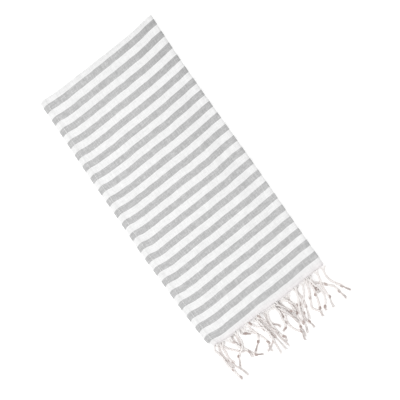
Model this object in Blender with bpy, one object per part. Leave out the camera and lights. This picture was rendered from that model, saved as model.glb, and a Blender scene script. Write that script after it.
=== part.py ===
"""A striped cotton tea towel with a knotted fringe, folded and lying flat.

Metres, +Z up. The origin is the middle of the folded cloth's flat underside. +Y points to the
closed end of the crosswise fold, -Y to the fringe, and -X to the hem that shows on top.
"""

import math
from typing import NamedTuple

import bmesh
import bpy
import numpy as np

MM = 0.001

# The cloth as it is cut and hemmed
FLAT_WIDTH = 500 * MM
FLAT_LENGTH = 708 * MM
PLY = 1.0 * MM
HEM_WIDTH = 7.6 * MM
HEM_STEP = 2.0 * MM
HEM_EXTRA = 0.4 * MM
HEM_ROLL = 3.6 * MM

# How it is folded: once across, then back and forth in thirds
PLY_GAP = 0.4 * MM
UNDER_END_LONGER = 1.5 * MM
LEFT_FOLD_INSET = 1.0 * MM
LOWEST_HEM_INSET = 1.0 * MM
PLY_PITCH = PLY + PLY_GAP
PAIR = PLY + PLY_PITCH
PAIR_PITCH = 2 * PLY_PITCH
CROSS_RADIUS = PLY_PITCH / 2
SIDE_RADIUS = PAIR_PITCH / 2
BEND_REACH = SIDE_RADIUS + PAIR / 2
FIRST_STRIPE = 12 * MM
LAST_STRIPE = 13 * MM

# How finely the cloth's solid is divided
COLUMN_PITCH = 20 * MM
LEG_ROWS = 10
BEND_FACETS = 5
LEAST_COLUMN = 1.0 * MM

# The fringe: flat roots on a strip, round strands, a knot and a loose tuft
STRIP_GAP = 0.45 * MM
STRIP_DEPTH = 3.0 * MM
ROOT_WIDTH = 2.2 * MM
ROOT_LENGTH = 2.0 * MM
SWELL_LENGTH = 8.0 * MM
STRAND_WIDTH = 2.8 * MM
STRAND_HEIGHT = 2.0 * MM
RING_PITCH = 4.8 * MM
FIRST_RING = 2.0 * MM
KNOT_WIDTH = 4.6 * MM
KNOT_HEIGHT = 3.0 * MM
KNOT_CORE = 1.3 * MM
KNOT_END = 2.8 * MM
TUFT_WIDTH = 2.2 * MM
TUFT_HEIGHT = 1.6 * MM

# How the strands come down and lie over each other
STRAND_GAP = 0.55 * MM
STEEPEST = 0.8
DROP_PER_HEIGHT = 3.0
DROP_LENGTH = 5.0 * MM
SAMPLE = 0.5 * MM
PILE_HALF_WIDTH = 110 * MM
PILE_BEFORE_END = 20 * MM
PILE_PAST_END = 90 * MM


class Drift(NamedTuple):
    """How far the long sides stand out past an even outline, at a share of the way to the fringe."""

    share: float
    left: float
    right: float


class Rise(NamedTuple):
    """How far the cloth is drawn towards its closed end, at a place across it: at the crosswise fold, at
    the first stripe from there, midway, at the last stripe and at the fringe."""

    x: float
    fold: float
    first: float
    midway: float
    last: float
    end: float


class Puff(NamedTuple):
    """A soft swelling of the stack: its middle, its half sizes and its share of the height."""

    x: float
    y: float
    half_x: float
    half_y: float
    share: float


class Strand(NamedTuple):
    """A strand, in millimetres: its ply, its x at the root, after each third and at the tip, its reach
    past the cloth's end, and its knot as a share of that reach."""

    ply: int
    root: float
    third: float
    two_thirds: float
    tip: float
    reach: float
    knot: float


SIDE_DRIFT = (
    Drift(share=0.00, left=-1.1, right=-0.1),
    Drift(share=0.12, left=-0.5, right=-1.4),
    Drift(share=0.30, left=1.0, right=-1.7),
    Drift(share=0.50, left=1.3, right=-0.9),
    Drift(share=0.60, left=2.1, right=-0.5),
    Drift(share=0.70, left=1.4, right=-0.5),
    Drift(share=0.85, left=0.4, right=-0.6),
    Drift(share=1.00, left=-2.0, right=-0.2),
)

SKEW = (
    Rise(x=-84, fold=-5.5, first=-6.2, midway=-5.2, last=-6.4, end=-4.0),
    Rise(x=-80, fold=-4.2, first=-4.9, midway=-3.5, last=-4.6, end=-2.4),
    Rise(x=-76, fold=-3.9, first=-4.6, midway=-3.2, last=-4.7, end=-2.1),
    Rise(x=-70, fold=-4.2, first=-4.9, midway=-4.0, last=-5.5, end=-2.9),
    Rise(x=-40, fold=-3.5, first=-4.1, midway=-3.5, last=-4.3, end=-2.5),
    Rise(x=-20, fold=-2.5, first=-2.8, midway=-2.0, last=-3.0, end=-2.1),
    Rise(x=0, fold=-1.3, first=-1.2, midway=-1.0, last=-1.7, end=-1.9),
    Rise(x=20, fold=-0.2, first=0.1, midway=0.3, last=-0.5, end=-1.2),
    Rise(x=40, fold=1.1, first=1.5, midway=2.1, last=0.7, end=0.1),
    Rise(x=55, fold=2.7, first=3.4, midway=3.2, last=2.1, end=1.2),
    Rise(x=75, fold=5.5, first=6.3, midway=5.4, last=3.9, end=2.5),
    Rise(x=84, fold=6.5, first=7.3, midway=6.0, last=4.3, end=2.8),
)

PUFFS = (
    Puff(x=62.0, y=120.0, half_x=22.0, half_y=60.0, share=0.10),
    Puff(x=50.0, y=-25.0, half_x=18.0, half_y=70.0, share=0.08),
    Puff(x=-30.0, y=60.0, half_x=34.0, half_y=90.0, share=-0.05),
    Puff(x=10.0, y=0.0, half_x=24.0, half_y=50.0, share=0.06),
    Puff(x=-45.0, y=-110.0, half_x=30.0, half_y=50.0, share=0.06),
)

# The upper end lies in plies 6, 3 and 2, and the under end in 5, 4 and 1, counted from the floor
UPPER_STRANDS = (
    Strand(6, -79, -77.5, -75.5, -72.5, 53, 0.86),
    Strand(6, -48, -48, -59.5, -67, 40, 0.69),
    Strand(6, -29.5, -29.5, -29.5, -42, 35, 0.76),
    Strand(6, -30, -20, -15.5, -29.5, 43, 0.85),
    Strand(6, 9, 16, 20, 20.5, 28, 0.73),
    Strand(6, 38, 34.5, 27.5, 24, 50, 0.81),
    Strand(6, 56, 51, 43, 48, 50, 0.86),
    Strand(6, 71, 68, 67, 65, 50, 0.71),
    Strand(6, -16, -11, -8, -4.5, 53, 0.57),
    Strand(3, 62, 68, 80, 83, 49, 0.74),
    Strand(3, -74.5, -75, -74.5, -72.5, 37, 0.66),
    Strand(3, -7.5, -7.5, -7, 0, 29, 0.69),
    Strand(3, 13, 18, 20, 17.5, 54, 0.77),
    Strand(3, 41, 40, 37.5, 33.5, 43, 0.63),
    Strand(3, -41, -42, -40, -33.5, 14, 0.74),
)

UNDER_STRANDS = (
    Strand(5, -71, -71, -69.5, -63.5, 51, 0.55),
    Strand(5, -60.5, -55, -48.5, -47.5, 36, 0.75),
    Strand(5, -38.5, -29.5, -23, -24.5, 44, 0.73),
    Strand(5, -21, -16.5, -16, -17, 52, 0.55),
    Strand(5, 3, 12.5, 17.5, 20, 34, 0.72),
    Strand(5, 18, 25.5, 30.5, 29.5, 26, 0.69),
    Strand(5, 51, 44, 33, 29.5, 41, 0.78),
    Strand(5, 60, 62, 62.5, 55, 45, 0.86),
    Strand(5, 81.3, 78.5, 84.5, 93, 43, 0.74),
    Strand(5, 5, 8.5, 6.5, -1, 33, 0.86),
    Strand(4, -69, -64, -48, -34.5, 41, 0.86),
    Strand(4, -17, -14, -11.5, -9, 53, 0.59),
    Strand(4, 5, 11, 11.5, 15, 56, 0.78),
    Strand(4, 27, 26.5, 29, 32.5, 51, 0.82),
    Strand(4, 58, 57.5, 54.5, 47.5, 40, 0.86),
    Strand(4, -3, -6.5, -6, -4, 45, 0.85),
    Strand(4, 23.5, 25, 23.5, 22, 52, 0.76),
)

# The two lowest plies hold strands that the others cover
COVERED_ROOTS = (-52, -16, 11, 59)
COVERED_WANDER = 2.0
COVERED_REACH = 22.0
COVERED_KNOT = 0.8


class Piece(NamedTuple):
    """A straight run of a path, or a bend that turns by an angle, anticlockwise if positive."""

    length: float
    turn: float = 0.0


class Path:
    """A flat path of straight runs and round bends, one after the other."""

    def __init__(self, start, heading, pieces):
        self.start = start
        self.heading = heading
        self.pieces = pieces

    def begins(self, index):
        """The distance at which a piece begins."""
        return sum(piece.length for piece in self.pieces[:index])

    def at(self, distance):
        """The point at a distance along the path, and the unit vector to the right of travel there."""
        a, b = self.start
        heading = self.heading
        for piece in self.pieces:
            step = min(distance, piece.length)
            distance -= step
            turned = piece.turn * step / piece.length
            if turned:
                radius = step / turned
                a += radius * (math.sin(heading + turned) - math.sin(heading))
                b -= radius * (math.cos(heading + turned) - math.cos(heading))
            else:
                a += step * math.cos(heading)
                b += step * math.sin(heading)
            heading += turned
            if distance <= 0:
                break
        return (a, b), (math.sin(heading), -math.cos(heading))

    def where(self, index, a):
        """The distance at which a straight run passes a value of the first coordinate."""
        begins = self.begins(index)
        return begins + abs(a - self.at(begins)[0][0])

    def stations(self, lines):
        """Distances that divide each run where it passes one of the lines, and each bend in facets."""
        found = [0.0]
        for index, piece in enumerate(self.pieces):
            begins = self.begins(index)
            ends = begins + piece.length
            if piece.turn:
                found += [begins + piece.length * i / BEND_FACETS for i in range(1, BEND_FACETS)]
            else:
                span = sorted((self.at(begins)[0][0], self.at(ends)[0][0]))
                inside = [line for line in lines if span[0] + LEAST_COLUMN < line < span[1] - LEAST_COLUMN]
                found += sorted(self.where(index, line) for line in inside)
            found.append(ends)
        return found


def fold_across():
    """The fold in half: the cloth's way from the under end to the upper one, as y and height."""
    bend = math.pi * CROSS_RADIUS
    leg = (FLAT_LENGTH - bend - UNDER_END_LONGER) / 2
    half = (leg + CROSS_RADIUS + PLY / 2) / 2
    pieces = (Piece(leg + UNDER_END_LONGER), Piece(bend, math.pi), Piece(leg))
    return Path((-half - UNDER_END_LONGER, -PLY_PITCH / 2), 0.0, pieces), half


def fold_in_thirds():
    """The folds in thirds: the way of a pair of plies from its lowest hem to its top one, as x and height."""
    bend = math.pi * SIDE_RADIUS
    insets = 2 * LEFT_FOLD_INSET + LOWEST_HEM_INSET
    half = (FLAT_WIDTH - 2 * bend + 4 * BEND_REACH + insets) / 6
    left = -half + LEFT_FOLD_INSET + BEND_REACH
    right = half - BEND_REACH
    lowest_hem = half - LOWEST_HEM_INSET
    pieces = (
        Piece(lowest_hem - left),
        Piece(bend, -math.pi),
        Piece(right - left),
        Piece(bend, math.pi),
        Piece(right + half),
    )
    return Path((lowest_hem, PAIR / 2), math.pi, pieces), half


ACROSS, HALF_LENGTH = fold_across()
THIRDS, HALF_WIDTH = fold_in_thirds()
LOWEST_HEM_LINE = HALF_WIDTH - LOWEST_HEM_INSET - HEM_WIDTH
TOP_HEM_LINE = HEM_WIDTH - HALF_WIDTH
ROLL_LINE = HEM_ROLL - HALF_WIDTH


def eased(share):
    """A share from 0 to 1, with a soft start and end."""
    share = min(max(share, 0.0), 1.0)
    return share * share * (3 - 2 * share)


def between(rows, column, at, key):
    """A table's column, read between its rows."""
    return float(np.interp(at, [getattr(row, key) for row in rows], [getattr(row, column) for row in rows]))


def settled(x, y, z):
    """Where a point of the evenly folded stack lies in the real, uneven one."""
    over_lowest_hem = eased((x - LOWEST_HEM_LINE) / HEM_STEP + 0.5)
    on_top_hem = eased((TOP_HEM_LINE - x) / HEM_STEP + 0.5)
    share_of_lowest = min(z / PAIR, 1.0)
    share_of_top = min(max((z - 2 * PAIR_PITCH) / PAIR, 0.0), 1.0)
    z += 2 * HEM_EXTRA * (over_lowest_hem * share_of_lowest + on_top_hem * share_of_top)
    for puff in PUFFS:
        away = math.hypot((x / MM - puff.x) / puff.half_x, (y / MM - puff.y) / puff.half_y)
        z *= 1 + puff.share * math.exp(-away * away)
    share = (HALF_LENGTH - y) / (2 * HALF_LENGTH)
    left = between(SIDE_DRIFT, "left", share, "share") * MM
    right = between(SIDE_DRIFT, "right", share, "share") * MM
    across = x / HALF_WIDTH
    x += (right * (1 + across) - left * (1 - across)) / 2
    lines = (-HALF_LENGTH, LAST_STRIPE - HALF_LENGTH, 0.0, HALF_LENGTH - FIRST_STRIPE, HALF_LENGTH)
    columns_at = ("end", "last", "midway", "first", "fold")
    y += float(np.interp(y, lines, [between(SKEW, column, x / MM, "x") for column in columns_at])) * MM
    return (x, y, max(z, 0.0))


def in_stack(u, y, height):
    """The place of a point at a distance along the thirds' path, lifted from its middle by a height."""
    (x, z), (right_x, right_z) = THIRDS.at(u)
    return settled(x + right_x * height, y, z + right_z * height)


def columns():
    """The x of the lines that divide every layer alike."""
    steps = round(HALF_WIDTH / COLUMN_PITCH)
    even = [HALF_WIDTH * i / steps for i in range(1 - steps, steps)]
    hems = [line + side * HEM_STEP / 2 for line in (LOWEST_HEM_LINE, TOP_HEM_LINE) for side in (-1, 1)]
    return sorted([*even, *hems, ROLL_LINE])


def rows():
    """The y of the lines that divide both legs of the crosswise fold alike."""
    ends = ACROSS.at(ACROSS.begins(1))[0][0]
    return [-HALF_LENGTH + (ends + HALF_LENGTH) * i / LEG_ROWS for i in range(LEG_ROWS)]


def add_band(mesh, first, second, closed=True):
    """Joins two rings of vertices with a band of faces."""
    count = len(first)
    for i in range(count if closed else count - 1):
        j = (i + 1) % count
        mesh.faces.new((first[i], first[j], second[j], second[i]))


def add_hem_edge(mesh, ring):
    """Closes a ring that runs along one face of the cloth and back along the other."""
    half = len(ring) // 2
    for i in range(half - 1):
        mesh.faces.new((ring[i], ring[i + 1], ring[-2 - i], ring[-1 - i]))


def cloth_mesh():
    """One sheet, folded across and in thirds: its section along y, carried along the thirds' path."""
    mesh = bmesh.new()
    face = [(v, side) for side in (1, -1) for v in ACROSS.stations(rows())[::side]]
    rings = []
    for u in THIRDS.stations(columns()):
        ring = []
        for v, side in face:
            (y, height), (right_y, right_height) = ACROSS.at(v)
            offset = side * PLY / 2
            ring.append(mesh.verts.new(in_stack(u, y + right_y * offset, height + right_height * offset)))
        rings.append(ring)
    for first, second in zip(rings, rings[1:]):
        add_band(mesh, first, second)
    add_hem_edge(mesh, rings[0])
    add_hem_edge(mesh, rings[-1])
    return mesh


class Pile:
    """The heights of the strands that lie beside the towel's end, on a fine grid."""

    def __init__(self):
        self.xs = np.arange(-PILE_HALF_WIDTH, PILE_HALF_WIDTH, SAMPLE)
        self.ys = np.arange(-HALF_LENGTH - PILE_PAST_END, -HALF_LENGTH + PILE_BEFORE_END, SAMPLE)
        self.tops = np.zeros((len(self.xs), len(self.ys)))

    def patch(self, x, y, radius):
        """The part of the grid round a place, and which of its cells are within the radius."""
        i, j = np.searchsorted(self.xs, x - radius), np.searchsorted(self.ys, y - radius)
        count = math.ceil(2 * radius / SAMPLE)
        part = (slice(i, i + count), slice(j, j + count))
        away = np.hypot(self.xs[part[0]][:, None] - x, self.ys[part[1]][None, :] - y)
        return part, away <= radius

    def rest(self, x, y, radius):
        """How high a thing of this radius has to lie to clear what is there."""
        part, near = self.patch(x, y, radius + STRAND_GAP)
        return float((self.tops[part] * near).max())

    def lay(self, x, y, radius, top):
        """Marks a thing with its top at this height."""
        part, near = self.patch(x, y, radius)
        self.tops[part] = np.maximum(self.tops[part], near * (top + STRAND_GAP))


class Route:
    """A strand's way over the floor, and its width and height along it."""

    def __init__(self, strand, root):
        self.root = root
        self.length = strand.reach * MM - STRIP_GAP - STRIP_DEPTH
        self.knot = strand.knot * self.length
        self.xs = [root[0], strand.third * MM, strand.two_thirds * MM, strand.tip * MM]

    def place(self, s):
        """The x and y of the middle line, on a curve through the strand's four places."""
        t = 3 * s / self.length
        first = min(int(t), 2)
        t -= first
        padded = [2 * self.xs[0] - self.xs[1], *self.xs, 2 * self.xs[3] - self.xs[2]]
        a, b, c, d = padded[first : first + 4]
        x = b + t * (c - a + t * (2 * a - 5 * b + 4 * c - d + t * (3 * b - a - 3 * c + d))) / 2
        return x, self.root[1] - s

    def aside(self, s):
        """The unit vector across the strand, which points to +X where the strand runs straight out."""
        step = SAMPLE / 2
        (x0, y0), (x1, y1) = self.place(max(s - step, 0)), self.place(min(s + step, self.length))
        size = math.hypot(x1 - x0, y1 - y0)
        return (y0 - y1) / size, (x1 - x0) / size

    def size(self, s):
        """The strand's width and height at a distance."""
        share = min(max((s - ROOT_LENGTH) / SWELL_LENGTH, 0.0), 1.0)
        width = ROOT_WIDTH + share * (STRAND_WIDTH - ROOT_WIDTH)
        height = PLY + share * (STRAND_HEIGHT - PLY)
        past = s - self.knot
        if abs(past) < KNOT_END:
            full = min(1.0, (KNOT_END - abs(past)) / (KNOT_END - KNOT_CORE))
            width += full * (KNOT_WIDTH - width)
            height += full * (KNOT_HEIGHT - height)
        elif past > 0:
            width, height = TUFT_WIDTH, TUFT_HEIGHT
        return width, height

    def rings(self):
        """Distances of the strand's rings past its root, close together at the knot."""
        knot = [self.knot + offset for offset in (-KNOT_END, -KNOT_CORE, KNOT_CORE, KNOT_END)]
        start = ROOT_LENGTH + FIRST_RING
        before = math.ceil((knot[0] - start) / RING_PITCH)
        after = math.ceil((self.length - knot[3]) / RING_PITCH)
        lead = [start + (knot[0] - start) * i / before for i in range(before)]
        tail = [knot[3] + (self.length - knot[3]) * i / after for i in range(1, after + 1)]
        return [ROOT_LENGTH, *lead, *knot, *tail]

    def bottoms(self, pile, rings):
        """How high each ring lies, so that the strand clears what is under it and isn't too steep."""
        drop = DROP_LENGTH + DROP_PER_HEIGHT * self.root[2]
        fine = np.arange(0, self.length, SAMPLE)
        needed = []
        for s in fine:
            hanging = self.root[2] * (1 - eased((s - ROOT_LENGTH) / drop))
            needed.append(max(hanging, pile.rest(*self.place(s), self.size(s)[0] / 2)))
        needed = np.array(needed)
        spans = zip(rings, [*rings[2:], self.length])
        lowest = [needed[(fine >= low) & (fine <= high)].max() for low, high in spans]
        slack = STEEPEST * np.abs(np.subtract.outer(rings[1:], rings[1:]))
        return [self.root[2], *(np.array(lowest)[None, :] - slack).max(axis=1)]


def grow(mesh, quad, route, pile, flipped):
    """Grows a strand out of a quad of the strip. A flipped ply has its upper face down."""
    rings = route.rings()
    bottoms = route.bottoms(pile, rings)
    way = 1 if flipped else -1
    last = quad
    for s, bottom in zip(rings, bottoms):
        x, y = route.place(s)
        aside_x, aside_y = route.aside(s)
        width, height = route.size(s)
        ring = []
        for u_side, w_side in ((-1, -1), (1, -1), (1, 1), (-1, 1)):
            reach = u_side * way * width / 2
            z = bottom + (height if w_side * way < 0 else 0.0)
            ring.append(mesh.verts.new((x + aside_x * reach, y + aside_y * reach, z)))
        add_band(mesh, last, ring)
        last = ring
    mesh.faces.new(last)
    ends = [0.0, *rings]
    heights = [route.root[2], *bottoms]
    for s in np.arange(0, route.length, SAMPLE):
        width, height = route.size(s)
        pile.lay(*route.place(s), width / 2, float(np.interp(s, ends, heights)) + height)


def covered_strands(ply, seed):
    """The strands of one of the lowest plies, with a little wander."""
    random = np.random.default_rng(seed)
    found = []
    for root in COVERED_ROOTS:
        root += random.uniform(-COVERED_WANDER, COVERED_WANDER)
        bend, lean, more = random.uniform(-COVERED_WANDER, COVERED_WANDER, 3)
        places = (root, root + bend, root + (bend + lean) / 2, root + lean)
        found.append(Strand(ply, *places, COVERED_REACH + more, COVERED_KNOT))
    return tuple(found)


class FringeEnd:
    """The fringe of one end of the cloth: a strip that follows its plies, and the strands."""

    def __init__(self, end_y, height, strands):
        self.mesh = bmesh.new()
        self.back = end_y - STRIP_GAP
        self.front = self.back - STRIP_DEPTH
        self.height = height
        self.roots = {}
        for strand in strands:
            run = 2 * ((strand.ply - 1) // 2)
            self.roots[strand] = THIRDS.where(run, strand.root * MM)
        self.quads = {}

    def make_strip(self):
        """The strip, left open where a strand grows out of it."""
        edges = [u + side * ROOT_WIDTH / 2 for u in self.roots.values() for side in (-1, 1)]
        clear = [
            u
            for u in THIRDS.stations(columns())
            if all(abs(u - root) > ROOT_WIDTH / 2 + LEAST_COLUMN for root in self.roots.values())
        ]
        stations = sorted(edges + clear)
        corners = ((self.back, -1), (self.front, -1), (self.front, 1), (self.back, 1))
        rings = []
        for u in stations:
            ring = []
            for y, side in corners:
                place = in_stack(u, y, self.height + side * PLY / 2)
                ring.append(self.mesh.verts.new(place))
            rings.append(ring)
        starts = {stations.index(u - ROOT_WIDTH / 2): strand for strand, u in self.roots.items()}
        for i, (first, second) in enumerate(zip(rings, rings[1:])):
            for a, b in ((0, 1), (1, 2), (2, 3), (3, 0)):
                quad = (first[a], second[a], second[b], first[b])
                if i in starts and a == 1:
                    self.quads[starts[i]] = quad
                else:
                    self.mesh.faces.new(quad)
        self.mesh.faces.new(rings[0])
        self.mesh.faces.new(rings[-1])

    def add_strand(self, strand, pile):
        """Grows one strand and lays it on the pile."""
        quad = self.quads[strand]
        x, y, _ = (sum(vertex.co[axis] for vertex in quad) / 4 for axis in range(3))
        lowest = min(vertex.co.z for vertex in quad)
        flipped = strand.ply in (3, 4)
        grow(self.mesh, quad, Route(strand, (x, y, lowest)), pile, flipped)


def fringe_meshes():
    """The fringes of the upper and the under end, their strands laid ply by ply from the lowest."""
    upper = FringeEnd(-HALF_LENGTH, PLY_PITCH / 2, UPPER_STRANDS + covered_strands(2, seed=3))
    under_end = -HALF_LENGTH - UNDER_END_LONGER
    under = FringeEnd(under_end, -PLY_PITCH / 2, UNDER_STRANDS + covered_strands(1, seed=5))
    pile = Pile()
    laid = []
    for fringe in (upper, under):
        fringe.make_strip()
        laid += [(strand.ply, fringe, strand) for strand in fringe.roots]
    for _, fringe, strand in sorted(laid, key=lambda entry: entry[0]):
        fringe.add_strand(strand, pile)
    return upper.mesh, under.mesh


def finish(name, color, roughness):
    """A plain finish: its colour, and how matt it is."""
    material = bpy.data.materials.new(name)
    material.use_nodes = True
    shader = material.node_tree.nodes["Principled BSDF"]
    shader.inputs["Base Color"].default_value = (*color, 1.0)
    shader.inputs["Roughness"].default_value = roughness
    shader.inputs["Metallic"].default_value = 0.0
    return material


def add_object(name, mesh, material, parent):
    """Turns a bmesh into an object with its own finish, smooth but for its sharp edges."""
    bmesh.ops.recalc_face_normals(mesh, faces=mesh.faces)
    data = bpy.data.meshes.new(name)
    mesh.to_mesh(data)
    mesh.free()
    data.materials.append(material)
    data.shade_smooth()
    data.set_sharp_from_angle(angle=math.radians(40))
    made = bpy.data.objects.new(name, data)
    made.parent = parent
    bpy.context.scene.collection.objects.link(made)


def main():
    """Clears the scene and makes the towel."""
    for existing in list(bpy.data.objects):
        bpy.data.objects.remove(existing, do_unlink=True)
    towel = bpy.data.objects.new("tea_towel", None)
    bpy.context.scene.collection.objects.link(towel)
    cotton = finish("striped_cotton", color=(0.78, 0.78, 0.79), roughness=0.9)
    cream = finish("cream_yarn", color=(0.80, 0.74, 0.68), roughness=0.92)
    tan = finish("shaded_yarn", color=(0.72, 0.65, 0.58), roughness=0.92)
    add_object("cloth", cloth_mesh(), cotton, towel)
    upper, under = fringe_meshes()
    add_object("upper_fringe", upper, cream, towel)
    add_object("under_fringe", under, tan, towel)


main()
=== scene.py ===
"""A striped cotton tea towel with a knotted fringe, folded and laid flat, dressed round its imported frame.

Metres, +Z up. +Y points to the closed end of the crosswise fold, -Y to the fringe, and -X to the hem
that shows on top.
"""

import logging
import math
from dataclasses import dataclass, field
from enum import Enum
from typing import Any, NamedTuple, Union

import bpy
import numpy as np
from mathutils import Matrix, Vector


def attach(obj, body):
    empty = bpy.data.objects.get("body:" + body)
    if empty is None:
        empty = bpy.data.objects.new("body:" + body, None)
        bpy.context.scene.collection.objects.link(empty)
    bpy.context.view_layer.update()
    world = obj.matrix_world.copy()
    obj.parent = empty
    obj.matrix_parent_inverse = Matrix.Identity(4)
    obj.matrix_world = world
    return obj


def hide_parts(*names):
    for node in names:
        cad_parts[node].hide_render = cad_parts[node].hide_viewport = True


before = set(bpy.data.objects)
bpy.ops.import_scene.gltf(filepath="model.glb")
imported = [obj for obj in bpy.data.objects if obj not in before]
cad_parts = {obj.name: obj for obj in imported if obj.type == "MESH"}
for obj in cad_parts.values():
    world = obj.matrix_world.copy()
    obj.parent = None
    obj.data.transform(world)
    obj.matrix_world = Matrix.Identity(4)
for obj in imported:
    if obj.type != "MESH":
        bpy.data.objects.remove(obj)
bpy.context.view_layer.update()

MM = 0.001
LOG = logging.getLogger("tea_towel")

# Where a Mix node holds its two colours, and the mixed one among its outputs
MIX_FIRST = 6
MIX_SECOND = 7
MIXED_COLOUR = 2

Number = Union[float, "Value"]


class Side(Enum):
    """A face of the cloth: the one that shows on top once it is folded, or the one inside the fold."""

    OUTER = 1
    INNER = -1


class End(Enum):
    """An end of the cloth, by the name of its fringe."""

    UPPER = "upper_cords"
    UNDER = "under_cords"


class Piece(NamedTuple):
    """A straight run of a path, or a bend that turns by an angle, anticlockwise if positive."""

    length: float
    turn: float = 0.0


class Drift(NamedTuple):
    """How far the long sides stand out past an even outline, at a share of the way to the fringe."""

    share: float
    left: float
    right: float


class Rise(NamedTuple):
    """How far the cloth is drawn towards its closed end, at a place across it: at the crosswise fold, at
    the first stripe from there, midway, at the last stripe and at the fringe."""

    x: float
    fold: float
    first: float
    midway: float
    last: float
    end: float


class Puff(NamedTuple):
    """A soft swelling of the stack, in millimetres: its middle, its half sizes and its share of the
    height."""

    x: float
    y: float
    half_x: float
    half_y: float
    share: float


class Crease(NamedTuple):
    """A soft crease of the top layers, in millimetres: a line, its half width, its lift, and how far the
    stripes jump across it."""

    start: tuple[float, float]
    end: tuple[float, float]
    half_width: float
    lift: float
    jump: float


class Wave(NamedTuple):
    """One of the slow waves that keep the cloth uneven, in millimetres."""

    length_x: float
    length_y: float
    size: float
    phase: float


class Spread(NamedTuple):
    """The range that a random value is drawn from."""

    low: float
    high: float

    def drawn(self, random: np.random.Generator) -> float:
        """A value from the range."""
        return random.uniform(self.low, self.high)


class Cord(NamedTuple):
    """A cord of the fringe: its ply, its way as x and distance past the cloth's end in millimetres, the
    places on that way that hold a knot, and how brown its tuft is."""

    ply: int
    way: tuple[tuple[float, float], ...]
    knots: tuple[int, ...]
    brown: float = 0.0


SIDE_DRIFT = (
    Drift(share=0.00, left=-1.1, right=-0.1),
    Drift(share=0.12, left=-0.5, right=-1.4),
    Drift(share=0.30, left=1.0, right=-1.7),
    Drift(share=0.50, left=1.3, right=-0.9),
    Drift(share=0.60, left=2.1, right=-0.5),
    Drift(share=0.70, left=1.4, right=-0.5),
    Drift(share=0.85, left=0.4, right=-0.6),
    Drift(share=1.00, left=-2.0, right=-0.2),
)

SKEW = (
    Rise(x=-84, fold=-5.5, first=-6.2, midway=-5.2, last=-6.4, end=-4.0),
    Rise(x=-80, fold=-4.2, first=-4.9, midway=-3.5, last=-4.6, end=-2.4),
    Rise(x=-76, fold=-3.9, first=-4.6, midway=-3.2, last=-4.7, end=-2.1),
    Rise(x=-70, fold=-4.2, first=-4.9, midway=-4.0, last=-5.5, end=-2.9),
    Rise(x=-40, fold=-3.5, first=-4.1, midway=-3.5, last=-4.3, end=-2.5),
    Rise(x=-20, fold=-2.5, first=-2.8, midway=-2.0, last=-3.0, end=-2.1),
    Rise(x=0, fold=-1.3, first=-1.2, midway=-1.0, last=-1.7, end=-1.9),
    Rise(x=20, fold=-0.2, first=0.1, midway=0.3, last=-0.5, end=-1.2),
    Rise(x=40, fold=1.1, first=1.5, midway=2.1, last=0.7, end=0.1),
    Rise(x=55, fold=2.7, first=3.4, midway=3.2, last=2.1, end=1.2),
    Rise(x=75, fold=5.5, first=6.3, midway=5.4, last=3.9, end=2.5),
    Rise(x=84, fold=6.5, first=7.3, midway=6.0, last=4.3, end=2.8),
)

PUFFS = (
    Puff(x=62.0, y=120.0, half_x=22.0, half_y=60.0, share=0.10),
    Puff(x=50.0, y=-25.0, half_x=18.0, half_y=70.0, share=0.08),
    Puff(x=-30.0, y=60.0, half_x=34.0, half_y=90.0, share=-0.05),
    Puff(x=10.0, y=0.0, half_x=24.0, half_y=50.0, share=0.06),
    Puff(x=-45.0, y=-110.0, half_x=30.0, half_y=50.0, share=0.06),
)

CREASES = (
    Crease(start=(48.0, 34.0), end=(51.0, -36.0), half_width=4.5, lift=0.55, jump=0.8),
    Crease(start=(16.0, 14.0), end=(13.0, -16.0), half_width=4.0, lift=-0.35, jump=-0.6),
    Crease(start=(-62.0, 20.0), end=(-58.0, -60.0), half_width=7.0, lift=0.25, jump=0.3),
    Crease(start=(66.0, 165.0), end=(74.0, 90.0), half_width=8.0, lift=0.40, jump=0.4),
    Crease(start=(-20.0, -90.0), end=(-12.0, -150.0), half_width=6.0, lift=-0.25, jump=0.3),
)

STRIPE_WAVES = (
    Wave(length_x=2000.0, length_y=360.0, size=0.58, phase=3.14),
    Wave(length_x=61.0, length_y=240.0, size=0.12, phase=0.4),
    Wave(length_x=34.0, length_y=-150.0, size=0.09, phase=2.1),
    Wave(length_x=19.0, length_y=90.0, size=0.06, phase=4.0),
    Wave(length_x=-27.0, length_y=44.0, size=0.07, phase=1.2),
)

HEIGHT_WAVES = (
    Wave(length_x=57.0, length_y=120.0, size=0.14, phase=1.0),
    Wave(length_x=-38.0, length_y=71.0, size=0.12, phase=2.7),
    Wave(length_x=23.0, length_y=-52.0, size=0.09, phase=0.3),
    Wave(length_x=-15.0, length_y=24.0, size=0.05, phase=5.1),
    Wave(length_x=12.0, length_y=17.0, size=0.04, phase=3.3),
)

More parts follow.
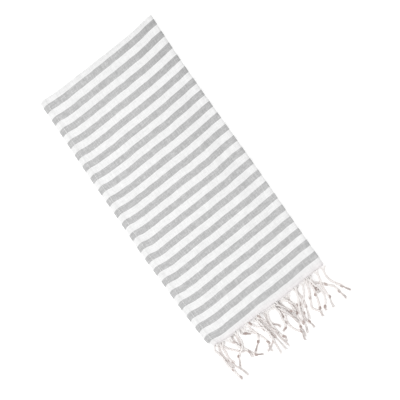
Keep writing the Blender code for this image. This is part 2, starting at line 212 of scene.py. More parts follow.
# The upper end of the cloth lies in plies 6, 3 and 2, and the under end in 5, 4 and 1
UPPER_CORDS = (
    Cord(6, ((-79, 0), (-79.6, 5.3), (-78.3, 10.3), (-77.6, 15.3), (-77.1, 21.3), (-77, 27.3),
             (-76.6, 32.8), (-74.6, 37.6), (-74.3, 43.3), (-73, 49.3), (-72.3, 53.3)), (7, 9)),
    Cord(6, ((-48, 0), (-47.4, 6), (-47.4, 12), (-49, 18), (-52.5, 22), (-56.7, 24.7), (-60.5, 27.6),
             (-62.5, 31.8), (-64.8, 36), (-67, 40)), (6,), 0.3),
    Cord(6, ((-29.5, 0), (-30.8, 6.3), (-29.8, 11.3), (-28.3, 16.8), (-28.6, 22.3), (-31.8, 27),
             (-35, 29.6), (-38.6, 32.5), (-42, 35.3)), (5,), 0.7),
    Cord(6, ((-30, 0), (-28, 4.3), (-25.6, 6.5), (-24, 10.3), (-21, 13.7), (-17.5, 16.3), (-16.2, 21.3),
             (-15.7, 28.8), (-16.4, 36.3), (-19.5, 38.1), (-24, 41), (-29.5, 42.9)), (1, 8), 0.5),
    Cord(6, ((9, 0), (11, 3.5), (13.2, 7), (15.8, 11), (18.0, 15), (19.8, 18.3), (21.8, 20.2), (21.3, 24),
             (20.6, 27.5)), (6,)),
    Cord(6, ((38, 0), (38.4, 5.6), (37, 11.1), (35, 15.9), (32.5, 20.1), (30.3, 24.3), (28.6, 29.4),
             (27.1, 34.6), (26, 40.4), (25, 45.1), (23.8, 49.6)), (8,)),
    Cord(6, ((56, 0), (54.5, 6.9), (52.5, 13.4), (50.3, 18.9), (47.8, 22.7), (45.9, 27.4), (43.9, 31.5),
             (43, 34.3), (44.8, 37.5), (47.3, 40.8), (49.2, 44.1), (48.6, 47.2), (48, 50.4)), (4, 10), 0.3),
    Cord(6, ((71, 0), (70.8, 6.9), (69.5, 12.9), (67.8, 17.9), (67.3, 24.4), (67, 30.4), (67.3, 35.5),
             (65.9, 40.2), (65.2, 44.9), (64.8, 49.9)), (6,)),
    Cord(6, ((-16, 0), (-14.7, 3.6), (-12.6, 8.1), (-11.3, 13.6), (-10.6, 19.1), (-9.6, 24.1), (-7.6, 29.8),
             (-7.9, 34.6), (-7, 40.1), (-5.6, 45.6), (-4.5, 52.6)), (1, 6)),
    Cord(3, ((62, 0), (60.7, 6.3), (61.5, 11.1), (65.4, 13.9), (68.8, 17), (72, 20.8), (75.6, 24.6),
             (79, 28.7), (80.6, 36.1), (81.5, 40.6), (82.5, 44.8), (82.9, 48.8)), (5, 8), 0.4),
    Cord(3, ((-74.5, 0), (-74.7, 9.3), (-75.5, 18.3), (-74.6, 24.8), (-73.5, 30.8), (-72.5, 37.3)), (3,)),
    Cord(3, ((-7.5, 0), (-7.6, 8.6), (-8.4, 13.6), (-8.2, 17.4), (-6.6, 19.8), (-3.7, 22), (-1.3, 24.6),
             (0.1, 28.6)), (4,), 0.5),
    Cord(3, ((13, 0), (16, 9.2), (18, 17.2), (19.6, 24.2), (20, 30.7), (19.9, 36.2), (18.8, 41.6),
             (19.3, 45.7), (18.5, 50.2), (17.4, 54.2)), (6,)),
    Cord(3, ((41, 0), (39.4, 7.8), (40, 13.8), (39.6, 20.8), (37.9, 26.8), (36.8, 32.3), (34.9, 37.3),
             (33.3, 42.6)), (4,)),
    Cord(3, ((-41, 0), (-42.3, 7.1), (-39.2, 10.4), (-36, 12.1), (-33.4, 14.1)), (2,), 0.7),
)

UNDER_CORDS = (
    Cord(5, ((-71, 0), (-70.6, 6.4), (-70.6, 12.9), (-71.5, 19.4), (-71.2, 24.4), (-69.7, 28),
             (-70.2, 32.4), (-67.5, 38.2), (-65.2, 44.4), (-63.6, 51.2)), (5,), 0.4),
    Cord(5, ((-60.5, 0), (-59, 5.3), (-56, 8.3), (-54.6, 13.3), (-52.4, 17.6), (-50, 21.3), (-48.3, 24.8),
             (-47.8, 27.3), (-47.4, 31.8), (-47.7, 36.3)), (2, 7)),
    Cord(5, ((-38.5, 0), (-37.6, 4.2), (-34.5, 8.7), (-31, 12.7), (-27.6, 17), (-24.9, 22.7), (-22.4, 32.2),
             (-23.7, 35.7), (-24.4, 39.7), (-24.3, 44.2)), (6,)),
    Cord(5, ((-21, 0), (-17.8, 7), (-16.6, 14), (-16, 22), (-15.9, 28.5), (-15.9, 35), (-16.5, 43),
             (-17, 52)), (4,)),
    Cord(5, ((3, 0), (5.2, 2.9), (9.3, 6.3), (12, 10.3), (14.3, 14.3), (16, 18.3), (17.2, 21.3),
             (18.2, 24.3), (19, 28.8), (19.9, 33.8)), (7,)),
    Cord(5, ((18, 0), (20.6, 2.5), (24, 6), (26, 9.8), (27.6, 13.3), (29.2, 16), (30.8, 17.8), (30.4, 21.8),
             (29.3, 25.8)), (6,)),
    Cord(5, ((51, 0), (49.5, 3), (47.5, 7.7), (45, 12.5), (41.7, 16.5), (38, 19.3), (35, 21.3), (33.2, 26),
             (31.3, 31.5), (30, 36), (29.4, 40.5)), (6, 8)),
    Cord(5, ((60, 0), (60, 5.6), (60.6, 12.1), (62.8, 16.6), (63.5, 22.6), (63.4, 28.1), (61.6, 33.4),
             (59.2, 37.2), (56.4, 40.5), (55, 45.4)), (8,)),
    Cord(5, ((81.3, 0), (80, 2.8), (78.4, 8.8), (78.3, 14.8), (79.8, 20.6), (82.5, 25.3), (84.7, 29),
             (86.5, 32), (89.4, 37.2), (92.8, 43.3)), (7,), 0.9),
    Cord(5, ((5, 0), (7.5, 6.4), (8.8, 10.4), (8, 14.9), (7, 19.4), (6.6, 23.4), (6.2, 26.9), (4.8, 29.7),
             (3, 31), (0.8, 31.7), (-0.8, 33.4)), (8,), 0.4),
    Cord(4, ((-69, 0), (-68.4, 5.2), (-66.6, 9.9), (-63, 14.5), (-59.5, 18.2), (-56, 21.7), (-52.5, 24.1),
             (-49.6, 25.6), (-47.6, 27.5), (-45.2, 31.5), (-42.8, 35.4), (-39, 37.9), (-34.6, 40.5)),
        (8, 10), 0.9),
    Cord(4, ((-17, 0), (-15.5, 7.1), (-14.3, 15.1), (-13.3, 22.1), (-12.4, 26.5), (-12.2, 31.4),
             (-11.2, 38.1), (-10.5, 45.1), (-9, 53.1)), (4, 5)),
    Cord(4, ((5, 0), (8.5, 8.4), (11.8, 15.4), (10.8, 20.9), (9.3, 26.2), (10.1, 33.4), (12, 39.1),
             (14.5, 42.3), (17.2, 44.2), (17.1, 47.4), (15.7, 51.4), (15, 56.4)), (4, 8), 0.5),
    Cord(4, ((27, 0), (26, 7.4), (26.3, 14.4), (27, 21.4), (28, 28.4), (29, 34.9), (30.9, 42.1),
             (32.2, 46.4), (32.7, 51.4)), (6,), 0.4),
    Cord(4, ((58, 0), (57.8, 7.5), (57.3, 15.5), (55.4, 21.8), (53.8, 29.5), (50.3, 38.1), (47.5, 40.3)),
        (3, 5)),
    Cord(4, ((-3, 0), (-5.5, 8.2), (-7, 17.2), (-6.4, 26.2), (-5.2, 33.7), (-2.7, 38.3), (-3, 41.7),
             (-4, 45)), (5,)),
    Cord(4, ((23.5, 0), (24.6, 8.1), (25, 16.1), (24.4, 23.9), (22.7, 31.1), (24.9, 39.6), (24.5, 45.1),
             (22, 52.1)), (3, 5)),
)


def eased(share: np.ndarray) -> np.ndarray:
    """Gives shares from 0 to 1 a soft start and end.

    Args:
        share: The shares, which are clipped first.

    Returns:
        The eased shares.
    """
    share = np.clip(share, 0.0, 1.0)
    return share * share * (3.0 - 2.0 * share)


def smooth_table(at: np.ndarray, keys: list[float], values: list[float]) -> np.ndarray:
    """Reads a table along a smooth curve through its rows.

    Args:
        at: Where to read it.
        keys: The rows' places, in rising order.
        values: The rows' values.

    Returns:
        The values there. Past the ends they stay at the last row's.
    """
    places, heights = np.asarray(keys, float), np.asarray(values, float)
    slopes = np.gradient(heights, places)
    i = np.clip(np.searchsorted(places, at) - 1, 0, len(places) - 2)
    width = places[i + 1] - places[i]
    t = np.clip((at - places[i]) / width, 0.0, 1.0)
    rest = 1.0 - t
    return (
        heights[i] * (1 + 2 * t) * rest**2
        + slopes[i] * width * t * rest**2
        + heights[i + 1] * (3 - 2 * t) * t**2
        - slopes[i + 1] * width * t**2 * rest
    )


def wavy(waves: tuple[Wave, ...], x: np.ndarray, y: np.ndarray) -> np.ndarray:
    """Adds up slow waves.

    Args:
        waves: The waves.
        x: Places across, in millimetres.
        y: Places along, in millimetres.

    Returns:
        Their sum, in millimetres.
    """
    total = np.zeros(np.broadcast(x, y).shape)
    for wave in waves:
        total += wave.size * np.sin(math.tau * (x / wave.length_x + y / wave.length_y) + wave.phase)
    return total


@dataclass
class FoldPath:
    """A flat path of straight runs and round bends, one after the other."""

    start: tuple[float, float]
    heading: float
    pieces: tuple[Piece, ...]

    def begins(self, index: int) -> float:
        """The distance at which a piece begins."""
        return sum(piece.length for piece in self.pieces[:index])

    def at(self, distances: np.ndarray) -> tuple[np.ndarray, np.ndarray]:
        """Finds places along the path.

        Args:
            distances: Distances along it.

        Returns:
            The points there, and the unit vectors to the right of travel.
        """
        left = np.array(distances, float)
        a = np.full(left.shape, self.start[0])
        b = np.full(left.shape, self.start[1])
        heading = np.full(left.shape, self.heading)
        for piece in self.pieces:
            step = np.clip(left, 0.0, piece.length)
            left = left - step
            turned = piece.turn * step / piece.length
            if piece.turn:
                radius = piece.length / piece.turn
                a += radius * (np.sin(heading + turned) - np.sin(heading))
                b -= radius * (np.cos(heading + turned) - np.cos(heading))
            else:
                a += step * np.cos(heading)
                b += step * np.sin(heading)
            heading = heading + turned
        return np.stack([a, b], -1), np.stack([np.sin(heading), -np.cos(heading)], -1)

    def where(self, index: int, a: float) -> float:
        """The distance at which a straight run passes a value of the first coordinate."""
        begins = self.begins(index)
        return begins + abs(a - float(self.at(np.array(begins))[0][0]))

    def stations(self, pitches: tuple[float, ...], facets: int) -> np.ndarray:
        """Divides the path.

        Args:
            pitches: The longest step allowed on each piece, a bend's being unused.
            facets: How many steps each bend has.

        Returns:
            The distances of the dividing lines, both ends with them.
        """
        found = [np.zeros(1)]
        for index, (piece, pitch) in enumerate(zip(self.pieces, pitches)):
            steps = facets if piece.turn else math.ceil(piece.length / pitch)
            found.append(self.begins(index) + piece.length * np.arange(1, steps + 1) / steps)
        return np.concatenate(found)


def merged(stations: np.ndarray, added: list[float], least: float) -> np.ndarray:
    """Puts further lines among stations, and takes out those of the old ones that lie too near to them.

    Args:
        stations: The old distances.
        added: The new ones.
        least: The least step between a new line and an old one.

    Returns:
        All the distances, in order.
    """
    near = np.abs(stations[:, None] - np.array(added)[None, :]).min(axis=1) < least
    return np.unique(np.concatenate([stations[~near], added]))


@dataclass
class Folding:
    """How the towel is folded: once across, then back and forth in thirds, and how uneven it lies."""

    flat_width: float = 500 * MM
    flat_length: float = 708 * MM
    plies: int = 6
    ply: float = 1.0 * MM
    gap: float = 0.4 * MM
    under_end_longer: float = 1.5 * MM
    left_fold_inset: float = 1.0 * MM
    lowest_hem_inset: float = 1.0 * MM
    hem_width: float = 7.6 * MM
    hem_step: float = 4.6 * MM
    hem_extra: float = 0.4 * MM
    first_stripe: float = 12 * MM
    last_stripe: float = 13 * MM
    corner_reach: float = 13.5 * MM
    corner_width: float = 18 * MM
    corner_inset: float = 4.6 * MM
    crease_fade: float = 1.6
    crease_overrun: float = 0.35
    jump_reach: float = 5.0
    across: FoldPath = field(init=False)
    thirds: FoldPath = field(init=False)
    half_length: float = field(init=False)
    half_width: float = field(init=False)

    def __post_init__(self) -> None:
        """Works out both paths from the sizes."""
        pitch = self.ply + self.gap
        pair = self.ply + pitch
        bend = math.pi * pitch / 2
        leg = (self.flat_length - bend - self.under_end_longer) / 2
        self.half_length = (leg + pitch / 2 + self.ply / 2) / 2
        self.across = FoldPath(
            (-self.half_length - self.under_end_longer, -pitch / 2),
            0.0,
            (Piece(leg + self.under_end_longer), Piece(bend, math.pi), Piece(leg)),
        )
        bend = math.pi * pitch
        reach = pitch + pair / 2
        insets = 2 * self.left_fold_inset + self.lowest_hem_inset
        self.half_width = (self.flat_width - 2 * bend + 4 * reach + insets) / self.plies
        left = -self.half_width + self.left_fold_inset + reach
        right = self.half_width - reach
        lowest_hem = self.half_width - self.lowest_hem_inset
        runs = (lowest_hem - left, right - left, right + self.half_width)
        self.thirds = FoldPath(
            (lowest_hem, pair / 2),
            math.pi,
            (Piece(runs[0]), Piece(bend, -math.pi), Piece(runs[1]), Piece(bend, math.pi), Piece(runs[2])),
        )

    @property
    def pitch(self) -> float:
        """The height from one ply to the next."""
        return self.ply + self.gap

    @property
    def height(self) -> float:
        """The height of the whole even stack."""
        return self.plies * self.ply + (self.plies - 1) * self.gap

    def drifted(self, x: np.ndarray, y: np.ndarray) -> np.ndarray:
        """Moves places across to the towel's uneven outline.

        Args:
            x: Places across in the even stack.
            y: Places along it.

        Returns:
            The places across in the real one.
        """
        share = (self.half_length - y) / (2 * self.half_length)
        keys = [row.share for row in SIDE_DRIFT]
        left = smooth_table(share, keys, [row.left * MM for row in SIDE_DRIFT])
        right = smooth_table(share, keys, [row.right * MM for row in SIDE_DRIFT])
        across = x / self.half_width
        to_end = eased(1 - (y + self.half_length) / self.corner_reach)
        to_side = np.clip(1 - (x + self.half_width) / self.corner_width, 0.0, 1.0)
        outward = (right * (1 + across) - left * (1 - across)) / 2
        return x + outward + self.corner_inset * to_end * to_side

    def risen(self, x_mm: np.ndarray, y: np.ndarray) -> np.ndarray:
        """Works out how far the cloth is drawn towards its closed end.

        Args:
            x_mm: Places across, in millimetres.
            y: Places along, in metres.

        Returns:
            The move, in millimetres.
        """
        half = self.half_length
        lines = (-half, self.last_stripe - half, 0.0, half - self.first_stripe, half)
        keys = [row.x for row in SKEW]
        named = ("end", "last", "midway", "first", "fold")
        rises = [smooth_table(x_mm, keys, [getattr(row, name) for row in SKEW]) for name in named]
        shares = [np.interp(y, lines, row) for row in np.eye(len(lines))]
        return sum(rise * share for rise, share in zip(rises, shares))

    def hemmed(self, x: np.ndarray, z: np.ndarray) -> np.ndarray:
        """Lifts what lies over the lowest hem and in the top one.

        Args:
            x: Places across in the even stack.
            z: Heights in it.

        Returns:
            The heights with the hems' extra cloth.
        """
        pair = self.ply + self.pitch
        lowest_line = self.half_width - self.lowest_hem_inset - self.hem_width
        top_line = self.hem_width - self.half_width
        over_lowest = eased((x - lowest_line) / self.hem_step + 0.5)
        on_top = eased((top_line - x) / self.hem_step + 0.5)
        of_lowest = np.clip(z / pair, 0.0, 1.0)
        of_top = np.clip((z - (self.plies - 2) * self.pitch) / pair, 0.0, 1.0)
        return z + 2 * self.hem_extra * (over_lowest * of_lowest + on_top * of_top)

    def creased(self, x: np.ndarray, y: np.ndarray) -> tuple[np.ndarray, np.ndarray]:
        """Works out the creases.

        Args:
            x: Places across, in millimetres.
            y: Places along, in millimetres.

        Returns:
            The lift of the top layer and the move along the towel, in millimetres.
        """
        lift = np.zeros(np.broadcast(x, y).shape)
        move = np.zeros_like(lift)
        for crease in CREASES:
            (x0, y0), (x1, y1) = crease.start, crease.end
            length = math.hypot(x1 - x0, y1 - y0)
            along = ((x - x0) * (x1 - x0) + (y - y0) * (y1 - y0)) / length**2
            aside = ((x - x0) * (y0 - y1) + (y - y0) * (x1 - x0)) / length
            fade = eased(self.crease_fade * (1 - np.abs(2 * along - 1)) + self.crease_overrun)
            aside = aside / crease.half_width
            lift += crease.lift * np.exp(-aside * aside) * fade
            swing = np.tanh(aside) * np.exp(-((aside / self.jump_reach) ** 2))
            move += crease.jump / 2 * swing * fade
        return lift, move

    def settled(self, x: np.ndarray, y: np.ndarray, z: np.ndarray) -> np.ndarray:
        """Moves points of the even stack to where they lie in the real one.

        Args:
            x: Places across.
            y: Places along.
            z: Heights.

        Returns:
            The points, in an array whose last axis is x, y and z.
        """
        x, y, z = np.broadcast_arrays(x, y, z)
        share = z / self.height
        x_mm, y_mm = x / MM, y / MM
        z = self.hemmed(x, z)
        for puff in PUFFS:
            away = np.hypot((x_mm - puff.x) / puff.half_x, (y_mm - puff.y) / puff.half_y)
            z = z * (1 + puff.share * np.exp(-away * away))
        lift, move = self.creased(x_mm, y_mm)
        z = z + share**2 * (lift + wavy(HEIGHT_WAVES, x_mm, y_mm)) * MM
        rise = self.risen(x_mm, y) + share * (move + wavy(STRIPE_WAVES, x_mm, y_mm))
        return np.stack([self.drifted(x, y), y + rise * MM, np.maximum(z, 0.0)], -1)

    def in_stack(self, u: np.ndarray, y: np.ndarray, lift: np.ndarray) -> np.ndarray:
        """Places points beside the thirds' path.

        Args:
            u: Distances along that path.
            y: Places along the towel.
            lift: Distances to the right of the path.

        Returns:
            The points, as settled gives them.
        """
        point, right = self.thirds.at(u)
        x = point[..., 0] + right[..., 0] * lift
        z = point[..., 1] + right[..., 1] * lift
        return self.settled(x, y, z)

    def on_sheet(self, u: np.ndarray, v: np.ndarray, offset: np.ndarray) -> np.ndarray:
        """Places points of the cloth.

        Args:
            u: Distances across the flat cloth, from the lowest hem.
            v: Distances along it, from the under end.
            offset: Distances from its middle layer, towards its outer face.

        Returns:
            The points, as settled gives them.
        """
        point, right = self.across.at(v)
        y = point[..., 0] + right[..., 0] * offset
        lift = point[..., 1] + right[..., 1] * offset
        return self.in_stack(u, y, lift)


class Value:
    """A shader socket that takes part in arithmetic: each operator adds a Math node."""

    def __init__(self, shader: "Shader", socket: bpy.types.NodeSocket) -> None:
        """Keeps the socket and the shader that it belongs to."""
        self.shader = shader
        self.socket = socket

    def __add__(self, other: Number) -> "Value":
        """The sum."""
        return self.shader.math("ADD", self, other)

    def __radd__(self, other: Number) -> "Value":
        """The sum, from the other side."""
        return self.shader.math("ADD", other, self)

    def __sub__(self, other: Number) -> "Value":
        """The difference."""
        return self.shader.math("SUBTRACT", self, other)

    def __rsub__(self, other: Number) -> "Value":
        """The difference, from the other side."""
        return self.shader.math("SUBTRACT", other, self)

    def __mul__(self, other: Number) -> "Value":
        """The product."""
        return self.shader.math("MULTIPLY", self, other)

    def __rmul__(self, other: Number) -> "Value":
        """The product, from the other side."""
        return self.shader.math("MULTIPLY", other, self)

    def __truediv__(self, other: Number) -> "Value":
        """The quotient."""
        return self.shader.math("DIVIDE", self, other)

    def __abs__(self) -> "Value":
        """The size, without its sign."""
        return self.shader.math("ABSOLUTE", self)

    def clamped(self) -> "Value":
        """The value, kept from 0 to 1."""
        return self.shader.math("MAXIMUM", self.shader.math("MINIMUM", self, 1.0), 0.0)

    def wrapped(self) -> "Value":
        """What is left over the whole number below."""
        return self.shader.math("FRACT", self)

    def sine(self) -> "Value":
        """The sine of the value in radians."""
        return self.shader.math("SINE", self)

    def swing(self) -> "Value":
        """A wave that runs between 0 and 1 once for each whole number in the value."""
        return (self * math.tau).sine() * 0.5 + 0.5


class Shader:
    """A material under construction."""

    def __init__(self, name: str) -> None:
        """Makes an empty material of this name, with its surface shader."""
        self.material = bpy.data.materials.new(name)
        self.material.use_nodes = True
        self.tree = self.material.node_tree
        self.surface = self.tree.nodes["Principled BSDF"]

    def node(
        self, kind: str, settings: dict[str, Any], inputs: dict[Union[str, int], Any]
    ) -> bpy.types.Node:
        """Adds a node.

        Args:
            kind: The node's type.
            settings: Its properties, which are set first.
            inputs: For each input socket, a value or the Value or socket to link.

        Returns:
            The node.
        """
        made = self.tree.nodes.new(kind)
        for name, setting in settings.items():
            setattr(made, name, setting)
        for name, given in inputs.items():
            self.feed(made.inputs[name], given)
        return made

    def feed(self, socket: bpy.types.NodeSocket, given: Any) -> None:
        """Sets or links one input socket.

        Args:
            socket: The input.
            given: A number, a tuple, a Value or another node's output.
        """
        if isinstance(given, Value):
            given = given.socket
        if isinstance(given, bpy.types.NodeSocket):
            self.tree.links.new(given, socket)
        elif isinstance(given, tuple) and socket.type == "RGBA":
            socket.default_value = (*given, 1.0)
        else:
            socket.default_value = given

    def math(self, operation: str, *values: Number) -> Value:
        """Adds a Math node.

        Args:
            operation: Its operation.
            values: Its inputs.

        Returns:
            Its output.
        """
        made = self.node("ShaderNodeMath", {"operation": operation}, dict(enumerate(values)))
        return Value(self, made.outputs[0])

    def vector(self, x: Number, y: Number, z: Number = 0.0) -> bpy.types.NodeSocket:
        """Joins three numbers to a vector."""
        return self.node("ShaderNodeCombineXYZ", {}, {0: x, 1: y, 2: z}).outputs[0]

    def mixed(self, share: Number, first: Any, second: Any) -> bpy.types.NodeSocket:
        """Mixes two colours.

        Args:
            share: How much of the second there is.
            first: The first colour.
            second: The second.

        Returns:
            The mixed colour's socket.
        """
        settings = {"data_type": "RGBA", "blend_type": "MIX"}
        made = self.node("ShaderNodeMix", settings, {0: share, MIX_FIRST: first, MIX_SECOND: second})
        return made.outputs[MIXED_COLOUR]

    def scaled(self, colour: Any, factor: Value) -> bpy.types.NodeSocket:
        """Makes a colour lighter or darker.

        Args:
            colour: The colour.
            factor: What each part of it is multiplied by.

        Returns:
            The new colour's socket.
        """
        inputs = {"Vector": colour, "Scale": factor}
        return self.node("ShaderNodeVectorMath", {"operation": "SCALE"}, inputs).outputs[0]

    def noise(self, x: Number, y: Number, detail: float = 2.0, roughness: float = 0.5) -> Value:
        """Reads smooth noise.

        Args:
            x: The first coordinate, in cells.
            y: The second one.
            detail: How many finer layers it has.
            roughness: How strong those are.

        Returns:
            The noise, about 0.5 on average.
        """
        inputs = {"Vector": self.vector(x, y), "Scale": 1.0, "Detail": detail, "Roughness": roughness}
        made = self.node("ShaderNodeTexNoise", {"noise_dimensions": "2D"}, inputs)
        return Value(self, made.outputs[0])

    def map_of(self, name: str) -> tuple[Value, Value]:
        """The two coordinates of a mesh's map."""
        read = self.node("ShaderNodeUVMap", {"uv_map": name}, {})
        parts = self.node("ShaderNodeSeparateXYZ", {}, {0: read.outputs[0]})
        return Value(self, parts.outputs[0]), Value(self, parts.outputs[1])

    def held(self, name: str) -> Value:
        """The number that a mesh holds under this name."""
        read = self.node("ShaderNodeAttribute", {"attribute_name": name}, {})
        return Value(self, read.outputs["Fac"])

    def finish(
        self, colour: Any, roughness: Value, height: Value, depth: float, fixed: dict[str, float]
    ) -> None:
        """Feeds the surface shader.

        Args:
            colour: The base colour.
            roughness: How matt it is.
            height: The relief, from 0 to 1.
            depth: How deep that relief is, in metres.
            fixed: Sockets that are the same all over.
        """
        bump = self.node("ShaderNodeBump", {}, {"Strength": 1.0, "Distance": depth, "Height": height})
        self.feed(self.surface.inputs["Base Color"], colour)
        self.feed(self.surface.inputs["Roughness"], roughness)
        self.feed(self.surface.inputs["Normal"], bump.outputs[0])
        for name, value in fixed.items():
            self.surface.inputs[name].default_value = value


@dataclass(frozen=True)
class StripedCotton:
    """Plain-woven cotton: white, with even grey stripes of the weft and a light, slubby yarn.

    Its sizes are millimetres on the flat cloth, where u runs across from the lowest hem and v along to the
    upper end, and the relief's depth is in metres. A name such as white_slubs, tone_grain or relief_weft
    says how much its second word adds to the white threads among the grey, to the tone or to the relief.
    """

    white: tuple[float, float, float] = (0.86, 0.86, 0.86)
    grey: tuple[float, float, float] = (0.47, 0.47, 0.471)
    end_white: tuple[float, float, float] = (0.83, 0.80, 0.805)
    flat_width: float = 500.0
    flat_length: float = 708.0
    stripe: float = 8.0
    stripe_pitch: float = 16.5
    stripe_count: int = 42
    end_band: float = 8.8
    plain_edge: float = 4.0
    edge: float = 0.5
    wander: float = 0.5
    wander_width: float = 9.0
    wander_length: float = 40.0
    widened: float = 1.1
    widened_past_u: float = 425.0
    widened_rise_u: float = 40.0
    widened_within: float = 14.0
    widened_rise: float = 5.0
    # Painted shade on the grey stripes: darker towards the lowest hem and the under end, where the light
    # falls off on the top layer
    painted_shade_on_grey: float = 0.15
    painted_shade_below_u: float = 410.0
    painted_shade_rise_u: float = 80.0
    painted_shade_below_v: float = 560.0
    painted_shade_rise_v: float = 180.0
    fold_shade: float = 0.05
    fold_reach: float = 11.0
    hem_line: float = 7.1
    seam_width: float = 0.7
    stitch_pitch: float = 3.3
    stitch_share: float = 0.9
    thread_pitch: float = 0.72
    slub_width: float = 1.5
    weft_slub_length: float = 10.0
    warp_slub_length: float = 9.0
    slub_detail: float = 3.0
    grain_size: float = 1.3
    cloud_width: float = 55.0
    cloud_length: float = 45.0
    white_everywhere: float = 0.06
    white_warp: float = 0.20
    white_slubs: float = 0.42
    white_grain: float = 0.45
    white_seam: float = 0.45
    tone_slubs: float = 0.20
    tone_grain: float = 0.16
    tone_clouds: float = 0.06
    relief_weave: float = 0.45
    relief_weft: float = 0.75
    relief_warp: float = 0.6
    relief_depth: float = 0.16 * MM
    roughness: float = 0.94
    slub_polish: float = 0.12

    def stripes(self, shader: Shader, u: Value, v: Value) -> Value:
        """Works out where the cloth is striped.

        Args:
            shader: The shader.
            u: Millimetres across the flat cloth.
            v: Millimetres along it.

        Returns:
            1 in a stripe and 0 between them.
        """
        wander = (shader.noise(u / self.wander_width, v / self.wander_length) - 0.5) * self.wander
        from_end = self.flat_length - v + wander
        near_hem = ((u - self.widened_past_u) / self.widened_rise_u).clamped()
        near_end = ((self.widened_within - from_end) / self.widened_rise).clamped()
        from_end = from_end + self.widened * near_hem * near_end
        phase = ((from_end - self.end_band) / self.stripe_pitch).wrapped()
        half = self.stripe / self.stripe_pitch / 2
        sharpness = self.stripe_pitch / self.edge
        even = ((half - abs(phase - half)) * sharpness + 0.5).clamped()
        last = self.end_band + self.stripe_count * self.stripe_pitch - self.plain_edge
        return even * (from_end - self.plain_edge).clamped() * (last - from_end).clamped()

    def seam(self, u: Value, v: Value) -> Value:
        """Works out where the hems are sewn.

        Args:
            u: Millimetres across the flat cloth.
            v: Millimetres along it.

        Returns:
            1 on a stitch and 0 away from it.
        """
        half = self.flat_width / 2
        from_seam = abs(abs(u - half) - (half - self.hem_line))
        dashes = ((v * (math.tau / self.stitch_pitch)).sine() + self.stitch_share).clamped()
        return (1.0 - from_seam / self.seam_width).clamped() * dashes

    def plain(self, shader: Shader, v: Value) -> bpy.types.NodeSocket:
        """Works out the white between the stripes, which is a little darker at both ends.

        Args:
            shader: The shader.
            v: Millimetres along the flat cloth.

        Returns:
            The colour's socket.
        """
        from_edge = self.flat_length / 2 - abs(v - self.flat_length / 2)
        near_end = (1.0 - from_edge / self.end_band).clamped()
        return shader.mixed(near_end, self.white, self.end_white)

    def striped(self, shader: Shader, u: Value, v: Value, white: Value) -> bpy.types.NodeSocket:
        """Works out the stripes' grey, with painted shade that darkens it towards the lowest hem and the
        under end, which on the top layer are the fold at +X and the closed end.

        Args:
            shader: The shader.
            u: Millimetres across the flat cloth.
            v: Millimetres along it.
            white: How much of the white threads shows in it.

        Returns:
            The colour's socket.
        """
        grey = shader.mixed(white.clamped(), self.grey, self.white)
        # Painted shade: the grey darkens towards the lowest hem and the under end, which on the top layer
        # are the fold at +X and the closed end
        aside = ((self.painted_shade_below_u - u) / self.painted_shade_rise_u).clamped()
        along = ((self.painted_shade_below_v - v) / self.painted_shade_rise_v).clamped()
        return shader.scaled(grey, 1.0 - aside * along * self.painted_shade_on_grey)

    def material(self) -> bpy.types.Material:
        """Builds the finish.

        Returns:
            The material.
        """
        shader = Shader("striped_cotton")
        flat_u, flat_v = shader.map_of("flat")
        u, v = flat_u / MM, flat_v / MM
        thread = math.pi / self.thread_pitch
        crossing = (u * thread).sine() * (v * thread).sine()
        weft_slub = shader.noise(u / self.weft_slub_length, v / self.slub_width, self.slub_detail)
        warp_slub = shader.noise(u / self.slub_width, v / self.warp_slub_length, self.slub_detail)
        slubs = weft_slub + warp_slub - 1.0
        grain = shader.noise(u / self.grain_size, v / self.grain_size) - 0.5
        clouds = shader.noise(u / self.cloud_width, v / self.cloud_length) - 0.5
        white = (crossing * 2.0).clamped() * self.white_warp + self.white_everywhere
        white = white + slubs * self.white_slubs + grain * self.white_grain
        white = white + self.seam(u, v) * self.white_seam
        striped = self.striped(shader, u, v, white)
        base = shader.mixed(self.stripes(shader, u, v), self.plain(shader, v), striped)
        folded = (1.0 - abs(v - self.flat_length / 2) / self.fold_reach).clamped()
        tone = 1.0 + slubs * self.tone_slubs + grain * self.tone_grain + clouds * self.tone_clouds
        relief = abs(crossing) * self.relief_weave
        relief = relief + weft_slub * self.relief_weft + warp_slub * self.relief_warp
        shader.finish(
            shader.scaled(base, tone - folded * self.fold_shade),
            self.roughness - weft_slub * self.slub_polish,
            relief,
            self.relief_depth,
            {"Sheen Weight": 0.08, "Sheen Roughness": 0.5, "Specular IOR Level": 0.2},
        )
        return shader.material


